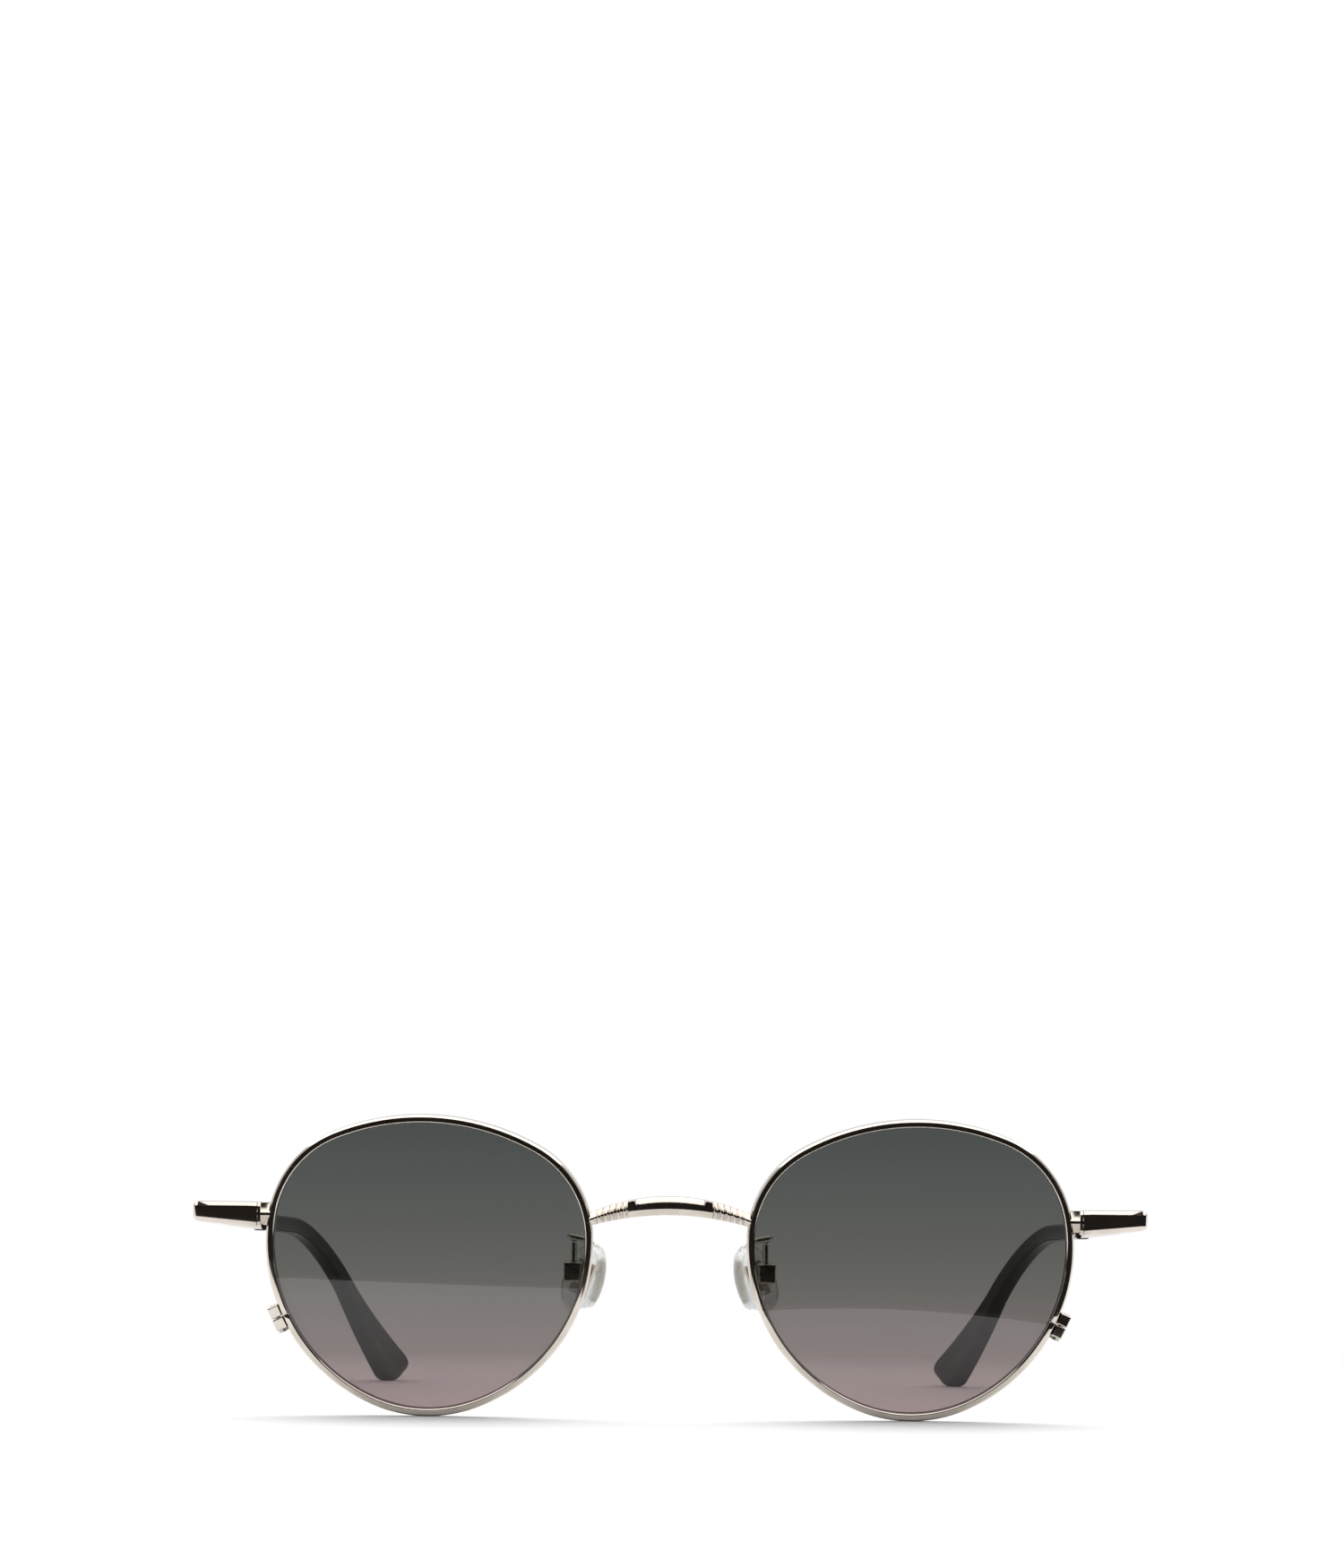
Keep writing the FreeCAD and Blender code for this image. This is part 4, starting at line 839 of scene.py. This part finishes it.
class WIREGLASSES_OT_nose_pads(Step, bpy.types.Operator):
    """Grow each soft pad through its thickness: a flat-backed oval with a domed face"""
    bl_idname = "wireglasses.nose_pads"
    bl_label = "Nose pads"

    def build(self, settings):
        pads = settings.pads
        half_width, half_length, half = pads.pad_width / 2, pads.pad_length / 2, pads.pad_thickness / 2
        round_edge = 1.15 * MM
        inward = round_edge / half_width
        loops = [(-half, share) for share in (0.05, 0.3, 0.55)]
        loops += [(-half + round_edge * (1 - math.cos(turn)), 1 - inward * (1 - math.sin(turn)))
                  for turn in spread(math.radians(20), math.pi / 2, 7)]
        loops += [(half - round_edge * (1 - math.sin(turn)), 1 - inward * (1 - math.cos(turn)))
                  for turn in spread(math.radians(10), math.radians(75), 6)]
        loops += [(half - 0.05 * MM, 0.60), (half, 0.35), (half, 0.12)]
        rings = []
        for depth, share in loops:
            ring = []
            for turn in spread(0.0, 2 * math.pi, 65)[:-1]:
                out, up = math.cos(turn), math.sin(turn)
                swell = 1 - 0.10 * up
                x = half_width * share * swell * math.copysign(abs(out) ** 0.9, out)
                z = half_length * share * math.copysign(abs(up) ** 0.95, up)
                ring.append(Vector((x, depth, z)))
            rings.append(ring)
        pad = drawn_out("left_soft_pad", rings)
        place = (front_place(settings) @ Matrix.Translation((pads.pad_x, pads.pad_y, pads.pad_z))
                 @ Matrix.Rotation(-pads.pad_lean, 4, "Y") @ Matrix.Rotation(pads.pad_splay, 4, "Z"))
        set_down(pad, place)
        for soft in both_sides(pad, "soft_pad", silicone_clear(settings.colours), "{side}_pad", "clear_pad",
                               node="nose_pad"):
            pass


class WIREGLASSES_OT_fittings(Step, bpy.types.Operator):
    """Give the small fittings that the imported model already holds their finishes"""
    bl_idname = "wireglasses.fittings"
    bl_label = "Small fittings"

    def build(self, settings):
        colours = settings.colours
        polished = nickel_silver_polished(colours)
        tumbled = nickel_silver_tumbled(colours)
        steel = steel_turned(colours)
        finishes = ((polished, ("closing_block_upper", "closing_block_lower", "pad_arm")),
                    (tumbled, ("hinge_front_leaf", "hinge_temple_leaf", "pad_box", "pad_insert")),
                    (steel, ("closing_screw", "hinge_screw", "pad_screw")))
        for finish, nodes in finishes:
            for node in [f"{side}_{name}" for side in SIDES for name in nodes]:
                for holder in frame["nodes"][node].material_slots:
                    holder.material = finish


class WIREGLASSES_OT_stage(Step, bpy.types.Operator):
    """Set out the pale floor, the dark card that lenses and metal mirror, the light and the camera"""
    bl_idname = "wireglasses.stage"
    bl_label = "Stage"

    def build(self, settings):
        stage = settings.stage
        bpy.ops.object.select_all(action="DESELECT")
        bpy.ops.mesh.primitive_plane_add(size=stage.floor_width)
        floor = bpy.context.object
        floor.name = "floor"
        floor.data.materials.append(self.board(settings.colours, stage))
        self.dark_card()
        self.light(stage)
        scene = bpy.context.scene
        self.surroundings(scene)
        scene.view_settings.view_transform = "Standard"
        camera = bpy.data.objects.new("camera", bpy.data.cameras.new("camera"))
        scene.collection.objects.link(camera)
        camera.data.lens = stage.focal_length
        camera.data.clip_start = 0.01
        stand = (stage.camera_right, -stage.camera_front, stage.camera_up)
        camera.matrix_world = (Matrix.Translation(stand)
                               @ Matrix.Rotation(stage.camera_yaw, 4, "Z")
                               @ Matrix.Rotation(stage.camera_pitch, 4, "X")
                               @ Matrix.Rotation(stage.camera_roll, 4, "Y")
                               @ Matrix.Rotation(math.pi / 2, 4, "X"))
        scene.camera = camera

    def board(self, colours, stage):
        """A painted board, which burns out to plain white away from the glasses."""
        material, tree = new_material("painted_board_white")
        place = add_node(tree, "TexCoord").outputs["Object"]
        grain = add_node(tree, "TexNoise", {"Scale": 1 / (40 * MM)}, {"Vector": place})
        shade = ramp(tree, grain.outputs["Fac"], [(0.3, colours.floor), (0.7, (0.93, 0.93, 0.93))])
        board = add_node(tree, "BsdfPrincipled", {"Roughness": 0.7, "Specular IOR Level": 0.1},
                         {"Base Color": shade})
        burnt = add_node(tree, "Emission", {"Color": WHITE, "Strength": 1.0})
        away = add_node(tree, "VectorMath", {"operation": "LENGTH"}, {0: place}).outputs["Value"]
        fade = add_node(tree, "MapRange", {"interpolation_type": "SMOOTHSTEP",
                                           "From Min": stage.clean_from, "From Max": stage.clean_to},
                        {"Value": away})
        both = mixed(tree, fade.outputs["Result"], board.outputs["BSDF"], burnt.outputs[0])
        show(tree, both)
        return material

    def hollow(self, middle, gap, radius, first, last):
        """The card's near edge before one lens, in mm: a shallow curve, furthest away at its middle."""
        return [(x * MM, ((x - middle) ** 2 / (2 * radius) - gap) * MM) for x in spread(first, last, 8)]

    def dark_card(self):
        """A dark card lying in front of the glasses, which only reflections see."""
        right = self.hollow(middle=-49.0, gap=119.8, radius=217.4, first=-100, last=1)
        left = self.hollow(middle=28.6, gap=103.5, radius=66.7, first=4, last=75)
        outer, far, lift = 1.5, 3.0, 0.5 * MM
        near = [(-outer, -0.15), *right, *left, (0.1, -0.076), (outer, -0.076)]
        strip = [Vector((x, y, lift)) for x, y in near]
        rings = [strip + [Vector((point.x, -far, point.z)) for point in reversed(strip)]]
        card = drawn_out("dark_card", rings)
        material, tree = new_material("flocked_card_black")
        shader = add_node(tree, "BsdfDiffuse", {"Color": (0.012, 0.010, 0.009, 1.0)})
        show(tree, shader.outputs["BSDF"])
        card.data.materials.append(material)
        card.visible_camera = False
        card.visible_diffuse = False
        card.visible_transmission = False
        card.visible_shadow = False

    def light(self, stage):
        """A broad soft light overhead."""
        lamp = bpy.data.lights.new("overhead_softbox", "AREA")
        lamp.shape = "RECTANGLE"
        lamp.size, lamp.size_y = 2.4, 2.0
        lamp.energy = stage.light_power
        lamp.color = (1.0, 0.99, 0.98)
        holder = bpy.data.objects.new("overhead_softbox", lamp)
        bpy.context.scene.collection.objects.link(holder)
        holder.location = (0, 0.25, 1.1)

    def surroundings(self, scene):
        """White behind the glasses, a dark room in front of them; the backdrop itself is white."""
        world = bpy.data.worlds.new("studio")
        scene.world = world
        world.use_nodes = True
        tree = world.node_tree
        tree.nodes.clear()
        heading = add_node(tree, "TexCoord").outputs["Generated"]
        back = add_node(tree, "SeparateXYZ", links={"Vector": heading}).outputs["Y"]
        depth = add_node(tree, "MapRange", {"From Min": -1.0}, {"Value": back}).outputs[0]
        shade = ramp(tree, depth, [(0.30, (0.014, 0.011, 0.009)), (0.62, (0.85, 0.85, 0.86))])
        around = add_node(tree, "Background", links={"Color": shade})
        backdrop = add_node(tree, "Background", {"Color": WHITE, "Strength": 1.0})
        seen = add_node(tree, "LightPath").outputs["Is Camera Ray"]
        both = mixed(tree, seen, around.outputs[0], backdrop.outputs[0])
        show(tree, both, "World")


class WireGlassesSettings(bpy.types.PropertyGroup):
    """All the settings of the sunglasses."""
    lens_and_rim: PointerProperty(type=LensAndRimSizes)
    bars: PointerProperty(type=BarSizes)
    temples: PointerProperty(type=TempleSizes)
    pads: PointerProperty(type=PadSizes)
    colours: PointerProperty(type=FinishColours)
    stage: PointerProperty(type=StageSizes)


OPERATORS = (WIREGLASSES_OT_stage, WIREGLASSES_OT_fittings, WIREGLASSES_OT_rims, WIREGLASSES_OT_lenses,
             WIREGLASSES_OT_bridge, WIREGLASSES_OT_endpieces, WIREGLASSES_OT_temple_arms,
             WIREGLASSES_OT_temple_tips, WIREGLASSES_OT_nose_pads)


class WIREGLASSES_PT_panel(bpy.types.Panel):
    """Lists the steps that build the sunglasses"""
    bl_idname = "WIREGLASSES_PT_panel"
    bl_label = "Round Wire Sunglasses"
    bl_space_type = "VIEW_3D"
    bl_region_type = "UI"
    bl_category = "Sunglasses"

    def draw(self, context):
        for operator in OPERATORS:
            self.layout.operator(operator.bl_idname)
        for group in ("lens_and_rim", "bars", "temples", "pads", "colours", "stage"):
            holder = getattr(context.scene.wire_glasses, group)
            box = self.layout.box()
            for name in holder.__annotations__:
                box.prop(holder, name)


CLASSES = (LensAndRimSizes, BarSizes, TempleSizes, PadSizes, FinishColours, StageSizes, WireGlassesSettings,
           *OPERATORS, WIREGLASSES_PT_panel)


def register():
    """Register the classes, and the settings on the scene."""
    for item in CLASSES:
        bpy.utils.register_class(item)
    bpy.types.Scene.wire_glasses = PointerProperty(type=WireGlassesSettings)


def unregister():
    """Take the settings and the classes away again."""
    del bpy.types.Scene.wire_glasses
    for item in reversed(CLASSES):
        bpy.utils.unregister_class(item)


def main():
    """Build every piece in order."""
    register()
    for operator in OPERATORS:
        family, name = operator.bl_idname.split(".")
        getattr(getattr(bpy.ops, family), name)()


if __name__ == "__main__":
    main()
